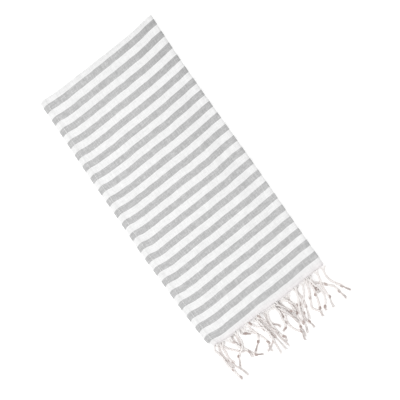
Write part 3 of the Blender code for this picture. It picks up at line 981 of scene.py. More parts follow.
@dataclass(frozen=True)
class TwistedYarn:
    """Undyed cotton yarn: cream, with painted brown shade in its crevices and knots and on its flanks, some
    browner tufts, fine twisted fibres and a fluff.
    """

    cream: tuple[float, float, float] = (0.95, 0.905, 0.885)
    pale: tuple[float, float, float] = (0.975, 0.96, 0.945)
    # The brown that painted shade and the browned tufts mix the yarn towards
    shade: tuple[float, float, float] = (0.31, 0.205, 0.18)
    fibre_count: float = 4.0
    fibre_pitch: float = 0.9
    fluff_around: float = 7.0
    fluff_slant: float = 0.6
    fluff_along: float = 1.1
    fluff_detail: float = 3.0
    fluff_roughness: float = 0.6
    deep_fluff: float = 0.5
    tone: float = 0.94
    tone_fibres: float = 0.06
    tone_fluff: float = 0.16
    relief_fibres: float = 0.6
    relief_fluff: float = 0.7
    relief_depth: float = 0.06 * MM
    roughness: float = 0.90
    matt_fluff: float = 0.08

    def material(self) -> bpy.types.Material:
        """Builds the finish.

        Returns:
            The material.
        """
        shader = Shader("fringe_yarn")
        around, along = shader.map_of("yarn")
        shade_and_brown = shader.held("shade_and_brown")
        fibres = (around * self.fibre_count + along / self.fibre_pitch).swing()
        slanted = around * self.fluff_around + along * self.fluff_slant
        fluff = shader.noise(slanted, along * self.fluff_along, self.fluff_detail, self.fluff_roughness)
        yarn = shader.mixed(shader.held("tone"), self.cream, self.pale)
        # Painted shade: the darkening that the mesh holds for each vertex (shade in crevices, on flanks and
        # in knots, and the brown of some tufts) mixes the yarn towards the shade colour
        deep = (shade_and_brown + (fluff - 0.5) * self.deep_fluff * shade_and_brown).clamped()
        shaded = shader.mixed(deep, yarn, self.shade)
        shader.finish(
            shader.scaled(shaded, self.tone + fibres * self.tone_fibres + (fluff - 0.5) * self.tone_fluff),
            self.roughness + fluff * self.matt_fluff,
            fibres * self.relief_fibres + fluff * self.relief_fluff,
            self.relief_depth,
            {"Sheen Weight": 0.12, "Sheen Roughness": 0.5, "Specular IOR Level": 0.2},
        )
        return shader.material


@dataclass(frozen=True)
class SeamThread:
    """White sewing thread of two plies, with painted shade in the groove between them."""

    colour: tuple[float, float, float] = (0.92, 0.92, 0.91)
    plies: float = 2.0
    turns_per_mm: float = 2.2
    # How much painted shade darkens the groove between the plies
    darker: float = 0.10
    relief_depth: float = 0.04 * MM
    roughness: float = 0.80
    matt_twist: float = 0.05

    def material(self) -> bpy.types.Material:
        """Builds the finish.

        Returns:
            The material.
        """
        shader = Shader("seam_thread")
        around, along = shader.map_of("yarn")
        twist = (around * self.plies + along * self.turns_per_mm).swing()
        # Painted shade: darker in the groove between the plies, where the relief is lowest
        colour = shader.scaled(self.colour, 1.0 - self.darker + twist * self.darker)
        fixed = {"Sheen Weight": 0.1, "Specular IOR Level": 0.3}
        shader.finish(colour, self.roughness + twist * self.matt_twist, twist, self.relief_depth, fixed)
        return shader.material


def make_object(
    name: str, points: np.ndarray, faces: list[np.ndarray], material: bpy.types.Material
) -> bpy.types.Object:
    """Makes a smooth mesh object.

    Args:
        name: Its name.
        points: Its vertices.
        faces: Arrays of faces, each with its own number of corners.
        material: Its finish.

    Returns:
        The object.
    """
    data = bpy.data.meshes.new(name)
    data.from_pydata(points.tolist(), [], [face for block in faces for face in block.tolist()])
    data.materials.append(material)
    data.shade_smooth()
    made = bpy.data.objects.new(name, data)
    bpy.context.scene.collection.objects.link(made)
    return made


@dataclass
class TubeMesh:
    """A mesh of many thin yarns, each a closed tube with its own twist map, tone, and darkening for painted
    shade and brown.

    drawn_in is the share of its radius that a tube keeps at both ends. A tube's sides are set out from
    the Z axis, or from the X axis where the upward share of its first direction reaches steep.
    """

    points: list[np.ndarray] = field(default_factory=list)
    quads: list[np.ndarray] = field(default_factory=list)
    ends: list[np.ndarray] = field(default_factory=list)
    quad_maps: list[np.ndarray] = field(default_factory=list)
    end_maps: list[np.ndarray] = field(default_factory=list)
    shades_and_browns: list[np.ndarray] = field(default_factory=list)
    tones: list[np.ndarray] = field(default_factory=list)
    count: int = 0
    drawn_in: float = 0.45
    steep: float = 0.9

    def outward(self, line: np.ndarray, sides: int) -> np.ndarray:
        """Works out which way the sides of a tube face, without twist along it.

        Args:
            line: The middle line's points.
            sides: How many sides the tube has.

        Returns:
            The unit vectors, for each point and side.
        """
        along = np.gradient(line, axis=0)
        along /= np.linalg.norm(along, axis=1, keepdims=True)
        guess = np.array([0.0, 0.0, 1.0]) if abs(along[0, 2]) < self.steep else np.array([1.0, 0.0, 0.0])
        up = guess - along[0] * along[0].dot(guess)
        up /= np.linalg.norm(up)
        ups = np.empty_like(line)
        for i, way in enumerate(along):
            up = up - way * way.dot(up)
            up /= np.linalg.norm(up)
            ups[i] = up
        asides = np.cross(along, ups)
        angles = math.tau * np.arange(sides) / sides
        across, upward = np.cos(angles)[:, None], np.sin(angles)[:, None]
        return across * asides[:, None, :] + upward * ups[:, None, :]

    def add(
        self, line: np.ndarray, radii: Any, sides: int, shade_and_brown: Any = 0.0, tone: float = 0.5
    ) -> None:
        """Adds one tube, its ends drawn in.

        Args:
            line: The middle line's points.
            radii: The radius, as one number or for each point.
            sides: How many sides it has.
            shade_and_brown: How far each vertex is darkened towards brown, for painted shade in crevices,
                on flanks and in knots and for the brown of tufts, as one number or for each point and side.
            tone: Where its yarn lies between cream and pale.
        """
        radii = np.broadcast_to(radii, len(line)).astype(float).copy()
        radii[[0, -1]] *= self.drawn_in
        ring = line[:, None, :] + radii[:, None, None] * self.outward(line, sides)
        number = self.count + np.arange(len(line) * sides).reshape(len(line), sides)
        after = np.roll(number, -1, axis=1)
        quads = np.stack([number[:-1], after[:-1], after[1:], number[1:]], -1)
        steps = np.linalg.norm(np.diff(line, axis=0), axis=1)
        along = np.concatenate([[0.0], np.cumsum(steps)]) / MM
        here, there = np.arange(sides) / sides, np.arange(1, sides + 1) / sides
        low, high = along[:-1, None], along[1:, None]
        corners = [(here, low), (there, low), (there, high), (here, high)]
        maps = np.stack([np.stack(np.broadcast_arrays(a, b), -1) for a, b in corners], 2)
        self.points.append(ring.reshape(-1, 3))
        self.quads.append(quads.reshape(-1, 4))
        self.quad_maps.append(maps.reshape(-1, 2))
        self.ends += [number[0][::-1][None, :], number[-1][None, :]]
        self.end_maps += [np.stack([here[::-1], np.full(sides, along[0])], -1)]
        self.end_maps += [np.stack([here, np.full(sides, along[-1])], -1)]
        self.shades_and_browns.append(np.broadcast_to(shade_and_brown, (len(line), sides)).reshape(-1))
        self.tones.append(np.full(len(line) * sides, tone))
        self.count += len(line) * sides

    def build(self, name: str, material: bpy.types.Material) -> bpy.types.Object:
        """Makes the object.

        Args:
            name: Its name.
            material: Its finish.

        Returns:
            The object.
        """
        faces = [np.concatenate(self.quads), *self.ends]
        made = make_object(name, np.concatenate(self.points), faces, material)
        data = made.data
        layer = data.uv_layers.new(name="yarn")
        layer.uv.foreach_set("vector", np.concatenate([*self.quad_maps, *self.end_maps]).ravel())
        for key, parts in (("shade_and_brown", self.shades_and_browns), ("tone", self.tones)):
            data.attributes.new(key, "FLOAT", "POINT").data.foreach_set("value", np.concatenate(parts))
        return made


@dataclass
class FoldedCloth:
    """The woven cloth with its hems, as one thin closed sheet on the folds."""

    folding: Folding
    visible_pitch: float = 2.0 * MM
    hidden_pitch: float = 6.0 * MM
    facets: int = 10
    least_step: float = 0.4 * MM
    rounded: float = 0.5 * MM
    edge_steps: tuple[float, ...] = (0.0, 0.06, 0.25, 0.6, 1.0)
    hem_steps: tuple[float, ...] = (-0.5, -0.25, 0.0, 0.25, 0.5)
    thinnest: float = 0.12

    def edge_lines(self, total: float) -> list[float]:
        """The lines close to both ends, where the sheet's edge is rounded."""
        steps = [self.rounded * share for share in self.edge_steps]
        return steps + [total - step for step in steps]

    def thinning(self, distances: np.ndarray, total: float) -> np.ndarray:
        """How thick the sheet is near its ends.

        Args:
            distances: Distances from one end.
            total: The distance from end to end.

        Returns:
            The share of the full thickness.
        """
        inside = np.clip(np.minimum(distances, total - distances) / self.rounded, 0.0, 1.0)
        return self.thinnest + (1 - self.thinnest) * np.sqrt(inside * (2 - inside))

    def lattice(self) -> tuple[np.ndarray, np.ndarray]:
        """Divides the sheet, finely where it shows.

        Returns:
            The lines across it and along it, as distances on the flat cloth.
        """
        folding = self.folding
        hidden, shown = self.hidden_pitch, self.visible_pitch
        across = folding.thirds.stations((hidden, 0.0, hidden, 0.0, shown), self.facets)
        along = folding.across.stations((hidden, 0.0, shown), self.facets)
        steps = [folding.hem_width + folding.hem_step * share for share in self.hem_steps]
        hems = steps + [folding.flat_width - step for step in steps]
        u = merged(across, hems + self.edge_lines(folding.flat_width), self.least_step)
        v = merged(along, self.edge_lines(folding.flat_length), self.least_step)
        return u, v

    def build(self, finish: StripedCotton) -> bpy.types.Object:
        """Makes the cloth.

        Args:
            finish: What it is woven of.

        Returns:
            The object.
        """
        folding = self.folding
        u, v = self.lattice()
        there_and_back = np.concatenate([v, v[::-1]])
        offset = np.repeat([Side.OUTER.value, Side.INNER.value], len(v)) * folding.ply / 2
        thin_across = self.thinning(u, folding.flat_width)[:, None]
        thin_along = self.thinning(there_and_back, folding.flat_length)
        u_grid, v_grid = np.broadcast_arrays(u[:, None], there_and_back[None, :])
        points = folding.on_sheet(u_grid, v_grid, offset[None, :] * (thin_across * thin_along))
        number = np.arange(points.shape[0] * points.shape[1]).reshape(points.shape[:2])
        after = np.roll(number, -1, axis=1)
        bands = np.stack([number[:-1], after[:-1], after[1:], number[1:]], -1).reshape(-1, 4)
        caps = []
        for ring in (number[0][::-1], number[-1]):
            half = len(ring) // 2
            back = ring[::-1]
            caps.append(np.stack([ring[: half - 1], ring[1:half], back[1:half], back[: half - 1]], -1))
        made = make_object("woven_cloth", points.reshape(-1, 3), [bands, *caps], finish.material())
        flat = np.stack([u_grid, v_grid], -1).reshape(-1, 2)
        corners = np.concatenate([bands, *caps]).ravel()
        made.data.uv_layers.new(name="flat").uv.foreach_set("vector", flat[corners].ravel())
        return made


@dataclass
class HemSeam:
    """The rows of stitches that hold the hems. Each stitch sinks into the cloth at both ends."""

    folding: Folding
    in_from_edge: float = 7.1 * MM
    stitch: float = 2.5 * MM
    pitch: float = 3.3 * MM
    thread: float = 0.20 * MM
    proud: float = 0.16 * MM
    sink: tuple[float, ...] = (1.0, 0.15, 0.0, 0.15, 1.0)
    sides: int = 6
    end_margin: float = 2.0 * MM

    def row(self, tubes: TubeMesh, u: float, first: float, last: float) -> None:
        """Sews one row on the cloth's outer face.

        Args:
            tubes: The mesh that takes the stitches.
            u: Where the row runs, across the flat cloth.
            first: Where it begins, along the cloth.
            last: Where it ends.
        """
        points = len(self.sink)
        lift = self.folding.ply / 2 + self.proud - self.thread * np.array(self.sink)
        for start in np.arange(first, last - self.stitch, self.pitch):
            v = start + self.stitch * np.linspace(0, 1, points)
            tubes.add(self.folding.on_sheet(np.full(points, u), v, lift), self.thread, self.sides)

    def build(self, finish: SeamThread) -> bpy.types.Object:
        """Makes the stitches of the hems that show above and below.

        Args:
            finish: Their thread.

        Returns:
            The object.
        """
        folding = self.folding
        tubes = TubeMesh()
        middle = folding.across.begins(1)
        top_seam = folding.flat_width - self.in_from_edge
        self.row(tubes, top_seam, middle, folding.flat_length - self.end_margin)
        self.row(tubes, self.in_from_edge, self.end_margin, middle)
        return tubes.build("hem_stitches", finish.material())


@dataclass
class Pile:
    """The heights of the cords that lie beside the towel's end, on a fine grid."""

    folding: Folding
    sample: float = 0.5 * MM
    half_width: float = 112 * MM
    before_end: float = 22 * MM
    past_end: float = 92 * MM
    xs: np.ndarray = field(init=False)
    ys: np.ndarray = field(init=False)
    tops: np.ndarray = field(init=False)

    def __post_init__(self) -> None:
        """Lays out the empty grid."""
        end = -self.folding.half_length
        self.xs = np.arange(-self.half_width, self.half_width, self.sample)
        self.ys = np.arange(end - self.past_end, end + self.before_end, self.sample)
        self.tops = np.zeros((len(self.xs), len(self.ys)))

    def patch(self, x: float, y: float, radius: float) -> tuple[tuple[slice, slice], np.ndarray]:
        """Finds the cells round a place.

        Args:
            x: The place across.
            y: The place along.
            radius: How far the cells may lie from it.

        Returns:
            The part of the grid, and each cell's distance as a share of the radius.
        """
        i, j = np.searchsorted(self.xs, x - radius), np.searchsorted(self.ys, y - radius)
        count = math.ceil(2 * radius / self.sample)
        part = (slice(i, i + count), slice(j, j + count))
        away = np.hypot(self.xs[part[0]][:, None] - x, self.ys[part[1]][None, :] - y)
        return part, away / radius

    def rest(self, x: float, y: float, half_width: float, half_height: float) -> float:
        """How high the middle of a round thing lies when it rests on what is there."""
        part, away = self.patch(x, y, half_width)
        dome = np.sqrt(np.clip(1 - away**2, 0.0, 1.0)) * half_height
        return float(np.where(away < 1, self.tops[part] + dome, half_height).max(initial=half_height))

    def lay(self, x: float, y: float, half_width: float, middle: float, half_height: float) -> None:
        """Marks a round thing that lies with its middle at this height."""
        part, away = self.patch(x, y, half_width)
        dome = middle + np.sqrt(np.clip(1 - away**2, 0.0, 1.0)) * half_height
        self.tops[part] = np.where(away < 1, np.maximum(self.tops[part], dome), self.tops[part])


@dataclass(frozen=True)
class Twist:
    """The two yarns of a cord, wound round each other, with painted brown shade where they meet and at
    their sides.
    """

    yarn_radius: float = 0.92 * MM
    root_radius: float = 0.50 * MM
    aside: float = 0.58 * MM
    up: float = 0.30 * MM
    root_aside: float = 1.3 * MM
    turn_length: float = 7.0 * MM
    first_turn: Spread = Spread(0.0, 0.6)
    lump: float = 0.06
    lumps_per_mm: Spread = Spread(0.5, 0.9)
    first_lump: Spread = Spread(0.0, 6.0)
    tone: Spread = Spread(0.1, 0.9)
    tone_apart: Spread = Spread(-0.1, 0.1)
    # Painted shade: inward darkens where the two yarns meet, flank the sides that face aside
    inward: float = 0.55
    inward_from: float = 0.60
    inward_rise: float = 0.30
    flank: Spread = Spread(0.40, 0.80)
    flank_from: float = 0.50
    flank_rise: float = 0.35
    sides: int = 10


@dataclass(frozen=True)
class Fan:
    """The warp ends that come together from the cloth's edge to a cord."""

    starts: tuple[float, ...] = (-3.8, -3.0, -2.2, 2.2, 3.0, 3.8)
    start_apart: Spread = Spread(-0.5, 0.5)
    length: Spread = Spread(0.75, 1.15)
    close: float = 0.8 * MM
    raised: float = 0.2 * MM
    radius: float = 0.30 * MM
    shade_and_brown: float = 0.05
    tone: Spread = Spread(0.4, 1.0)
    sides: int = 6


@dataclass(frozen=True)
class Knot:
    """A knot: a yarn wound round the cord, with painted brown shade inside it and on one side."""

    half_width: float = 2.25 * MM
    half_height: float = 1.7 * MM
    half_length: float = 2.4 * MM
    core: float = 0.35
    wound_length: float = 0.75
    turns: Spread = Spread(1.9, 2.3)
    first_turn: Spread = Spread(0.0, 6.0)
    points: int = 44
    radius: float = 0.95 * MM
    end_share: float = 0.12
    end_width: float = 0.35
    tilt: Spread = Spread(-0.5, 0.5)
    # Painted shade: inward darkens the inside of the knot, side one side of it
    inward: float = 0.8
    inward_from: float = 0.80
    inward_rise: float = 0.35
    side: Spread = Spread(0.4, 0.8)
    side_turn: Spread = Spread(-0.8, 0.8)
    side_from: float = 0.35
    side_rise: float = 0.4
    tone: Spread = Spread(0.0, 0.7)
    sides: int = 10


@dataclass(frozen=True)
class Tuft:
    """The loose yarns past a cord's last knot."""

    half_width: float = 1.1 * MM
    half_height: float = 0.8 * MM
    yarns: int = 9
    length: Spread = Spread(0.88, 1.08)
    step: float = 0.8 * MM
    least_points: int = 6
    apart: float = 1.35 * MM
    apart_at_knot: float = 0.45
    apart_more: float = 0.75
    wave: float = 0.3 * MM
    waves: Spread = Spread(3.0, 8.0)
    first_wave: Spread = Spread(0.0, 6.0)
    raised: Spread = Spread(-0.5, 0.6)
    least_height: float = 0.30 * MM
    radius: float = 0.36 * MM
    thinner: float = 0.35
    shade_and_brown: Spread = Spread(0.05, 0.25)
    browned: float = 0.75
    browned_yarns: float = 3.0
    tone: Spread = Spread(0.0, 1.0)
    sides: int = 6


@dataclass(frozen=True)
class CordShape:
    """The parts of a cord, and how it comes down from the cloth and lies."""

    twist: Twist = Twist()
    fan: Fan = Fan()
    knot: Knot = Knot()
    tuft: Tuft = Tuft()
    step: float = 0.5 * MM
    curve_steps: int = 24
    gather: float = 7.0 * MM
    half_width: float = 1.35 * MM
    half_height: float = 1.2 * MM
    root_length: float = 4.0 * MM
    steepest: float = 0.65
    drop: float = 5.0 * MM
    drop_for_height: float = 3.0
    settle: int = 7


@dataclass
class LaidCord:
    """One cord on its way over the floor and the cords under it."""

    cord: Cord
    root: np.ndarray
    shape: CordShape
    line: np.ndarray = field(init=False)
    distance: np.ndarray = field(init=False)
    knots: list[float] = field(init=False)

    def __post_init__(self) -> None:
        """Draws the way as a smooth curve through the cord's places, with even steps."""
        way = np.array(self.cord.way, float) * MM
        places = np.stack([way[:, 0], self.root[1] - way[:, 1]], -1)
        places[0] = self.root[:2]
        padded = np.concatenate([[2 * places[0] - places[1]], places, [2 * places[-1] - places[-2]]])
        t = np.linspace(0, 1, self.shape.curve_steps, endpoint=False)[:, None]
        runs = []
        for a, b, c, d in zip(padded, padded[1:], padded[2:], padded[3:]):
            bend = 2 * a - 5 * b + 4 * c - d + t * (3 * b - a - 3 * c + d)
            runs.append(b + t * (c - a + t * bend) / 2)
        curve = np.concatenate([*runs, [places[-1]]])
        gone = np.concatenate([[0.0], np.cumsum(np.linalg.norm(np.diff(curve, axis=0), axis=1))])
        self.knots = [float(gone[self.shape.curve_steps * index]) for index in self.cord.knots]
        self.distance = np.linspace(0, gone[-1], math.ceil(gone[-1] / self.shape.step) + 1)
        plan = np.stack([np.interp(self.distance, gone, curve[:, axis]) for axis in (0, 1)], -1)
        self.line = np.concatenate([plan, np.zeros((len(plan), 1))], axis=1)

    def knottiness(self) -> np.ndarray:
        """How much of a knot each step is, from 0 to 1."""
        away = np.abs(self.distance[:, None] - np.array(self.knots)[None, :]).min(axis=1)
        return 1 - eased(away / self.shape.knot.half_length - self.shape.knot.core)

    def sizes(self) -> tuple[np.ndarray, np.ndarray]:
        """The half widths and half heights of the cord, its knots and its tuft, step by step."""
        shape, knot, tuft = self.shape, self.shape.knot, self.shape.tuft
        past = eased((self.distance - self.knots[-1]) / knot.half_length)
        width = shape.half_width + past * (tuft.half_width - shape.half_width)
        height = shape.half_height + past * (tuft.half_height - shape.half_height)
        knotted = self.knottiness()
        width = width + knotted * (knot.half_width - width)
        height = height + knotted * (knot.half_height - height)
        return width, height

    def lie_on(self, pile: Pile) -> None:
        """Gives the way its heights on the pile, and adds it there.

        Args:
            pile: What lies there already.
        """
        shape = self.shape
        widths, heights = self.sizes()
        falling = shape.drop + shape.drop_for_height * self.root[2]
        hanging = self.root[2] * (1 - eased(self.distance / falling))
        resting = [pile.rest(x, y, w, h) for (x, y, _), w, h in zip(self.line, widths, heights)]
        needed = np.maximum(hanging, resting)
        needed[0] = self.root[2]
        away = np.abs(np.subtract.outer(self.distance, self.distance))
        middle = (needed[None, :] - shape.steepest * away).max(axis=1)
        kernel = np.hanning(2 * shape.settle + 3)[1:-1]
        padded = np.pad(middle, shape.settle, mode="edge")
        middle = np.convolve(padded, kernel / kernel.sum(), mode="valid")
        free = eased(self.distance / shape.root_length)
        self.line[:, 2] = np.maximum(self.root[2] * (1 - free) + middle * free, heights * free)
        for (x, y, z), w, h in zip(self.line, widths, heights):
            pile.lay(x, y, w, z, h)

    def across(self) -> tuple[np.ndarray, np.ndarray]:
        """The unit vectors aside and up from the way, the first one level."""
        along = np.gradient(self.line, axis=0)
        along /= np.linalg.norm(along, axis=1, keepdims=True)
        aside = np.stack([-along[:, 1], along[:, 0], np.zeros(len(along))], -1)
        aside /= np.linalg.norm(aside, axis=1, keepdims=True)
        return aside, np.cross(along, aside)

    def read(self, distances: np.ndarray, vectors: np.ndarray) -> np.ndarray:
        """Reads vectors that belong to the way's steps, at any distances along it."""
        return np.stack([np.interp(distances, self.distance, part) for part in vectors.T], -1)

    def add_twisted(self, tubes: TubeMesh, random: np.random.Generator) -> None:
        """Adds the two yarns, twisted from the root to the last knot.

        Args:
            tubes: The mesh that takes them.
            random: Where the unevenness comes from.
        """
        twist, gather = self.shape.twist, self.shape.gather
        used = self.distance <= self.knots[-1]
        line, s = self.line[used], self.distance[used]
        aside, up = (side[used] for side in self.across())
        gathered = eased(s / gather)
        turn = math.tau * np.maximum(s - gather / 2, 0) / twist.turn_length + twist.first_turn.drawn(random)
        lumps_per_mm = twist.lumps_per_mm.drawn(random)
        lumps = 1 + twist.lump * np.sin(s / MM * lumps_per_mm + twist.first_lump.drawn(random))
        radii = (twist.root_radius + (twist.yarn_radius - twist.root_radius) * gathered) * lumps
        tone = twist.tone.drawn(random)
        # How strongly painted shade browns this cord's flanks
        browned = twist.flank.drawn(random)
        for half in (0.0, math.pi):
            start = twist.root_aside * (1 - gathered) * math.cos(half)
            wide = start + twist.aside * gathered * np.cos(turn + half)
            high = twist.up * gathered * np.sin(turn + half)
            middle = line + wide[:, None] * aside + high[:, None] * up
            out = tubes.outward(middle, twist.sides)
            surface = middle[:, None, :] + radii[:, None, None] * out
            reach = np.linalg.norm(surface - line[:, None, :], axis=2) / (twist.aside + twist.yarn_radius)
            # Painted shade where the two yarns meet and on the flanks that face aside
            inward = eased((twist.inward_from - reach) / twist.inward_rise)
            level = np.abs((out * aside[:, None, :]).sum(axis=2))
            flank = eased((level - twist.flank_from) / twist.flank_rise)
            shade_and_brown = np.maximum(twist.inward * inward, browned * flank) * gathered[:, None]
            tubes.add(middle, radii, twist.sides, shade_and_brown, tone + twist.tone_apart.drawn(random))

    def add_fan(self, tubes: TubeMesh, random: np.random.Generator) -> None:
        """Adds the warp ends that come together from the cloth's edge.

        Args:
            tubes: The mesh that takes them.
            random: Where the unevenness comes from.
        """
        fan = self.shape.fan
        for start in fan.starts:
            length = self.shape.gather * fan.length.drawn(random)
            used = self.distance <= length
            aside, up = (side[used] for side in self.across())
            left = 1 - eased(self.distance[used] / length)
            at_edge = (start + fan.start_apart.drawn(random)) * MM
            wide = at_edge * left + math.copysign(fan.close, start) * (1 - left)
            middle = self.line[used] + wide[:, None] * aside + fan.raised * up
            tubes.add(middle, fan.radius, fan.sides, fan.shade_and_brown, fan.tone.drawn(random))

    def add_knot(self, tubes: TubeMesh, at: float, random: np.random.Generator) -> None:
        """Adds a knot, as a yarn wound round the cord.

        Args:
            tubes: The mesh that takes it.
            at: Its distance along the cord.
            random: Where the unevenness comes from.
        """
        knot = self.shape.knot
        index = int(np.argmin(np.abs(self.distance - at)))
        aside, up = (side[index] for side in self.across())
        turns = knot.turns.drawn(random)
        t = np.linspace(0, 1, knot.points)
        s = at + knot.half_length * knot.wound_length * (2 * t - 1)
        centre = self.read(np.clip(s, 0, self.distance[-1]), self.line)
        turn = math.tau * turns * t + knot.first_turn.drawn(random)
        full = eased(t / knot.end_share) * eased((1 - t) / knot.end_share)
        full = knot.end_width + (1 - knot.end_width) * full
        wide = (knot.half_width - knot.radius) * full * np.cos(turn)
        high = (knot.half_height - knot.radius) * full * np.sin(turn)
        along = knot.tilt.drawn(random) * wide
        line = centre + wide[:, None] * aside + high[:, None] * up + along[:, None] * np.cross(up, aside)
        surface = line[:, None, :] + knot.radius * tubes.outward(line, knot.sides) - self.line[index]
        reach = np.hypot(surface @ aside / knot.half_width, surface @ up / knot.half_height)
        # Painted shade inside the knot and on one side of it
        inward = eased((knot.inward_from - reach) / knot.inward_rise)
        on_side = eased((np.sin(turn + knot.side_turn.drawn(random)) - knot.side_from) / knot.side_rise)
        shade_and_brown = np.maximum(knot.inward * inward, knot.side.drawn(random) * on_side[:, None])
        tubes.add(line, knot.radius, knot.sides, shade_and_brown, knot.tone.drawn(random))

    def add_tuft(self, tubes: TubeMesh, random: np.random.Generator) -> None:
        """Adds the loose yarns past the last knot.

        Args:
            tubes: The mesh that takes them.
            random: Where the unevenness comes from.
        """
        tuft = self.shape.tuft
        start, end = self.knots[-1], self.distance[-1]
        aside, _ = self.across()
        ahead = self.line[-1] - self.line[-2]
        ahead /= np.linalg.norm(ahead)
        middle = (tuft.yarns - 1) / 2
        for number in range(tuft.yarns):
            reach = (end - start) * tuft.length.drawn(random)
            t = np.linspace(0, 1, max(math.ceil(reach / tuft.step), tuft.least_points))
            s = start + reach * t
            line = self.read(s, self.line) + np.clip(s - end, 0, None)[:, None] * ahead
            apart = tuft.apart * (tuft.apart_at_knot + tuft.apart_more * t) * (number - middle) / middle
            waves = tuft.waves.drawn(random)
            wave = tuft.wave * np.sin(t * waves + tuft.first_wave.drawn(random)) * t
            line += (apart + wave)[:, None] * self.read(s, aside)
            line[:, 2] = np.maximum(line[:, 2] + tuft.raised.drawn(random) * MM, tuft.least_height)
            inner = max(0.0, 1.0 - abs(number - middle) / tuft.browned_yarns)
            shade_and_brown = tuft.shade_and_brown.drawn(random) + tuft.browned * self.cord.brown * inner
            radii = tuft.radius * (1 - tuft.thinner * t)
            tubes.add(line, radii, tuft.sides, shade_and_brown, tuft.tone.drawn(random))


@dataclass
class KnottedFringe:
    """The fringe of both ends of the cloth."""

    folding: Folding
    shape: CordShape = field(default_factory=CordShape)
    covered_roots: tuple[float, ...] = (-52, -16, 11, 59)
    covered_wander: float = 2.0
    covered_reach: float = 22.0
    covered_knot: float = 0.8
    into_cloth: float = 0.3 * MM
    upper_seed: int = 3
    under_seed: int = 5
    yarn_seed: int = 11

    def covered(self, ply: int, seed: int) -> tuple[Cord, ...]:
        """Makes the cords of one of the lowest plies, which the others cover.

        Args:
            ply: The ply.
            seed: What their wander starts from.

        Returns:
            The cords.
        """
        random = np.random.default_rng(seed)
        found = []
        for root in self.covered_roots:
            root += random.uniform(-self.covered_wander, self.covered_wander)
            bend, lean, more = random.uniform(-self.covered_wander, self.covered_wander, 3)
            reach = self.covered_reach + more
            xs = (root, root + bend, root + (bend + lean) / 2, root + lean)
            way = [(x, reach * third / 3) for third, x in enumerate(xs)]
            way.insert(3, ((xs[2] + xs[3]) / 2, reach * self.covered_knot))
            found.append(Cord(ply, tuple(way), (3,)))
        return tuple(found)

    def laid(self, cord: Cord, end: End) -> LaidCord:
        """Starts a cord at its place on the cloth's end.

        Args:
            cord: The cord.
            end: The end that it grows out of.

        Returns:
            The cord, still without heights.
        """
        folding = self.folding
        run = 2 * ((cord.ply - 1) // 2)
        u = folding.thirds.where(run, cord.way[0][0] * MM)
        v = folding.flat_length if end is End.UPPER else 0.0
        root = folding.on_sheet(np.array([u]), np.array([v]), np.zeros(1))[0]
        return LaidCord(cord, root + np.array([0.0, self.into_cloth, 0.0]), self.shape)

    def build(self, finish: TwistedYarn) -> tuple[bpy.types.Object, ...]:
        """Makes both fringes, their cords laid ply by ply from the lowest.

        Args:
            finish: Their yarn.

        Returns:
            The objects of the upper and of the under end.
        """
        cords = [(cord, End.UPPER) for cord in UPPER_CORDS + self.covered(2, self.upper_seed)]
        cords += [(cord, End.UNDER) for cord in UNDER_CORDS + self.covered(1, self.under_seed)]
        cords.sort(key=lambda entry: entry[0].ply)
        meshes = {end: TubeMesh() for end in End}
        pile = Pile(self.folding)
        random = np.random.default_rng(self.yarn_seed)
        for cord, end in cords:
            laid = self.laid(cord, end)
            laid.lie_on(pile)
            laid.add_fan(meshes[end], random)
            laid.add_twisted(meshes[end], random)
            for at in laid.knots:
                laid.add_knot(meshes[end], at, random)
            laid.add_tuft(meshes[end], random)
        material = finish.material()
        return tuple(mesh.build(end.value, material) for end, mesh in meshes.items())


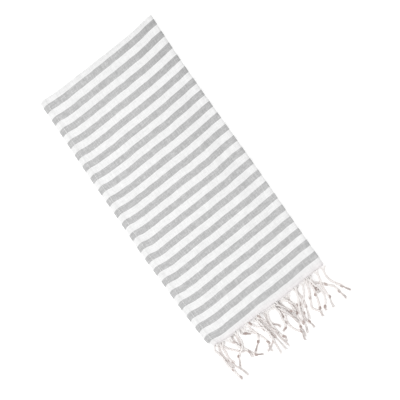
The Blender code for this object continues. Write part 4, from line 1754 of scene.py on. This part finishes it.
@dataclass
class Studio:
    """The pale floor, the soft light and the camera straight above."""

    turn: float = math.radians(-34.76)
    centre: tuple[float, float] = (6.96 * MM, -29.17 * MM)
    view_width: float = 0.4706
    top_height: float = 8.5 * MM
    lens: float = 230.0
    sensor: float = 36.0
    farthest: float = 20.0
    floor_size: float = 8.0
    floor_drop: float = 0.1 * MM
    floor_colour: tuple[float, float, float] = (0.72, 0.72, 0.72)
    floor_glow: float = 0.50
    key_power: float = 7.5
    key_size: float = 1.0
    key_place: tuple[float, float, float] = (-0.66, -0.40, 1.08)
    sky: float = 0.79

    def floor(self) -> None:
        """Lays the floor."""
        half = self.floor_size / 2
        corners = np.array([(-half, -half, 0), (half, -half, 0), (half, half, 0), (-half, half, 0)])
        shader = Shader("pale_floor")
        fixed = {
            "Base Color": self.floor_colour,
            "Roughness": 0.9,
            "Specular IOR Level": 0.1,
            "Emission Color": (1.0, 1.0, 1.0),
            "Emission Strength": self.floor_glow,
        }
        for name, value in fixed.items():
            shader.feed(shader.surface.inputs[name], value)
        corners = corners - (0, 0, self.floor_drop)
        made = make_object("floor", corners, [np.array([[0, 1, 2, 3]])], shader.material)

    def light(self) -> None:
        """Sets the sky and one large soft light at the picture's left."""
        world = bpy.data.worlds.new("studio")
        world.use_nodes = True
        background = world.node_tree.nodes["Background"]
        background.inputs["Color"].default_value = (1.0, 1.0, 1.0, 1.0)
        background.inputs["Strength"].default_value = self.sky
        bpy.context.scene.world = world
        right = Vector((math.cos(self.turn), math.sin(self.turn), 0.0))
        up = Vector((-math.sin(self.turn), math.cos(self.turn), 0.0))
        lamp = bpy.data.lights.new("key", "AREA")
        lamp.shape = "SQUARE"
        lamp.size = self.key_size
        lamp.energy = self.key_power
        made = bpy.data.objects.new("key", lamp)
        aside, forward, high = self.key_place
        made.location = aside * right + forward * up + Vector((0.0, 0.0, high))
        made.rotation_euler = (-made.location).to_track_quat("-Z", "Y").to_euler()
        bpy.context.scene.collection.objects.link(made)

    def camera(self) -> None:
        """Sets the camera straight above, turned as the picture is."""
        data = bpy.data.cameras.new("camera")
        data.lens = self.lens
        data.sensor_width = self.sensor
        data.clip_end = self.farthest
        made = bpy.data.objects.new("camera", data)
        distance = self.view_width * self.lens / self.sensor
        made.location = (*self.centre, distance + self.top_height)
        made.rotation_euler = (0.0, 0.0, self.turn)
        bpy.context.scene.collection.objects.link(made)
        bpy.context.scene.camera = made

    def build(self) -> None:
        """Makes the whole studio."""
        self.camera()
        self.light()
        self.floor()
        bpy.context.scene.view_settings.view_transform = "Standard"
        bpy.context.scene.view_settings.look = "None"


def report(made: bpy.types.Object) -> None:
    """Logs a piece's size and how many faces it has."""
    size = np.ptp(np.array(made.bound_box), axis=0) / MM
    LOG.info("%s: %.1f x %.1f x %.1f mm, %d faces", made.name, *size, len(made.data.polygons))


def main() -> None:
    """Builds the towel and its studio, and ties the pieces to the frame."""
    logging.basicConfig(level=logging.INFO, format="%(message)s")
    folding = Folding()
    Studio().build()
    cloth = FoldedCloth(folding).build(StripedCotton())
    stitches = HemSeam(folding).build(SeamThread())
    upper, under = KnottedFringe(folding).build(TwistedYarn())
    for made, slot in (
        (cloth, "striped_cotton"),
        (stitches, "striped_cotton"),
        (upper, "fringe_yarn"),
        (under, "fringe_yarn"),
    ):
        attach(made, "root")
        report(made)
    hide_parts("cloth")
    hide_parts("upper_fringe")
    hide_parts("under_fringe")


if __name__ == "__main__":
    main()
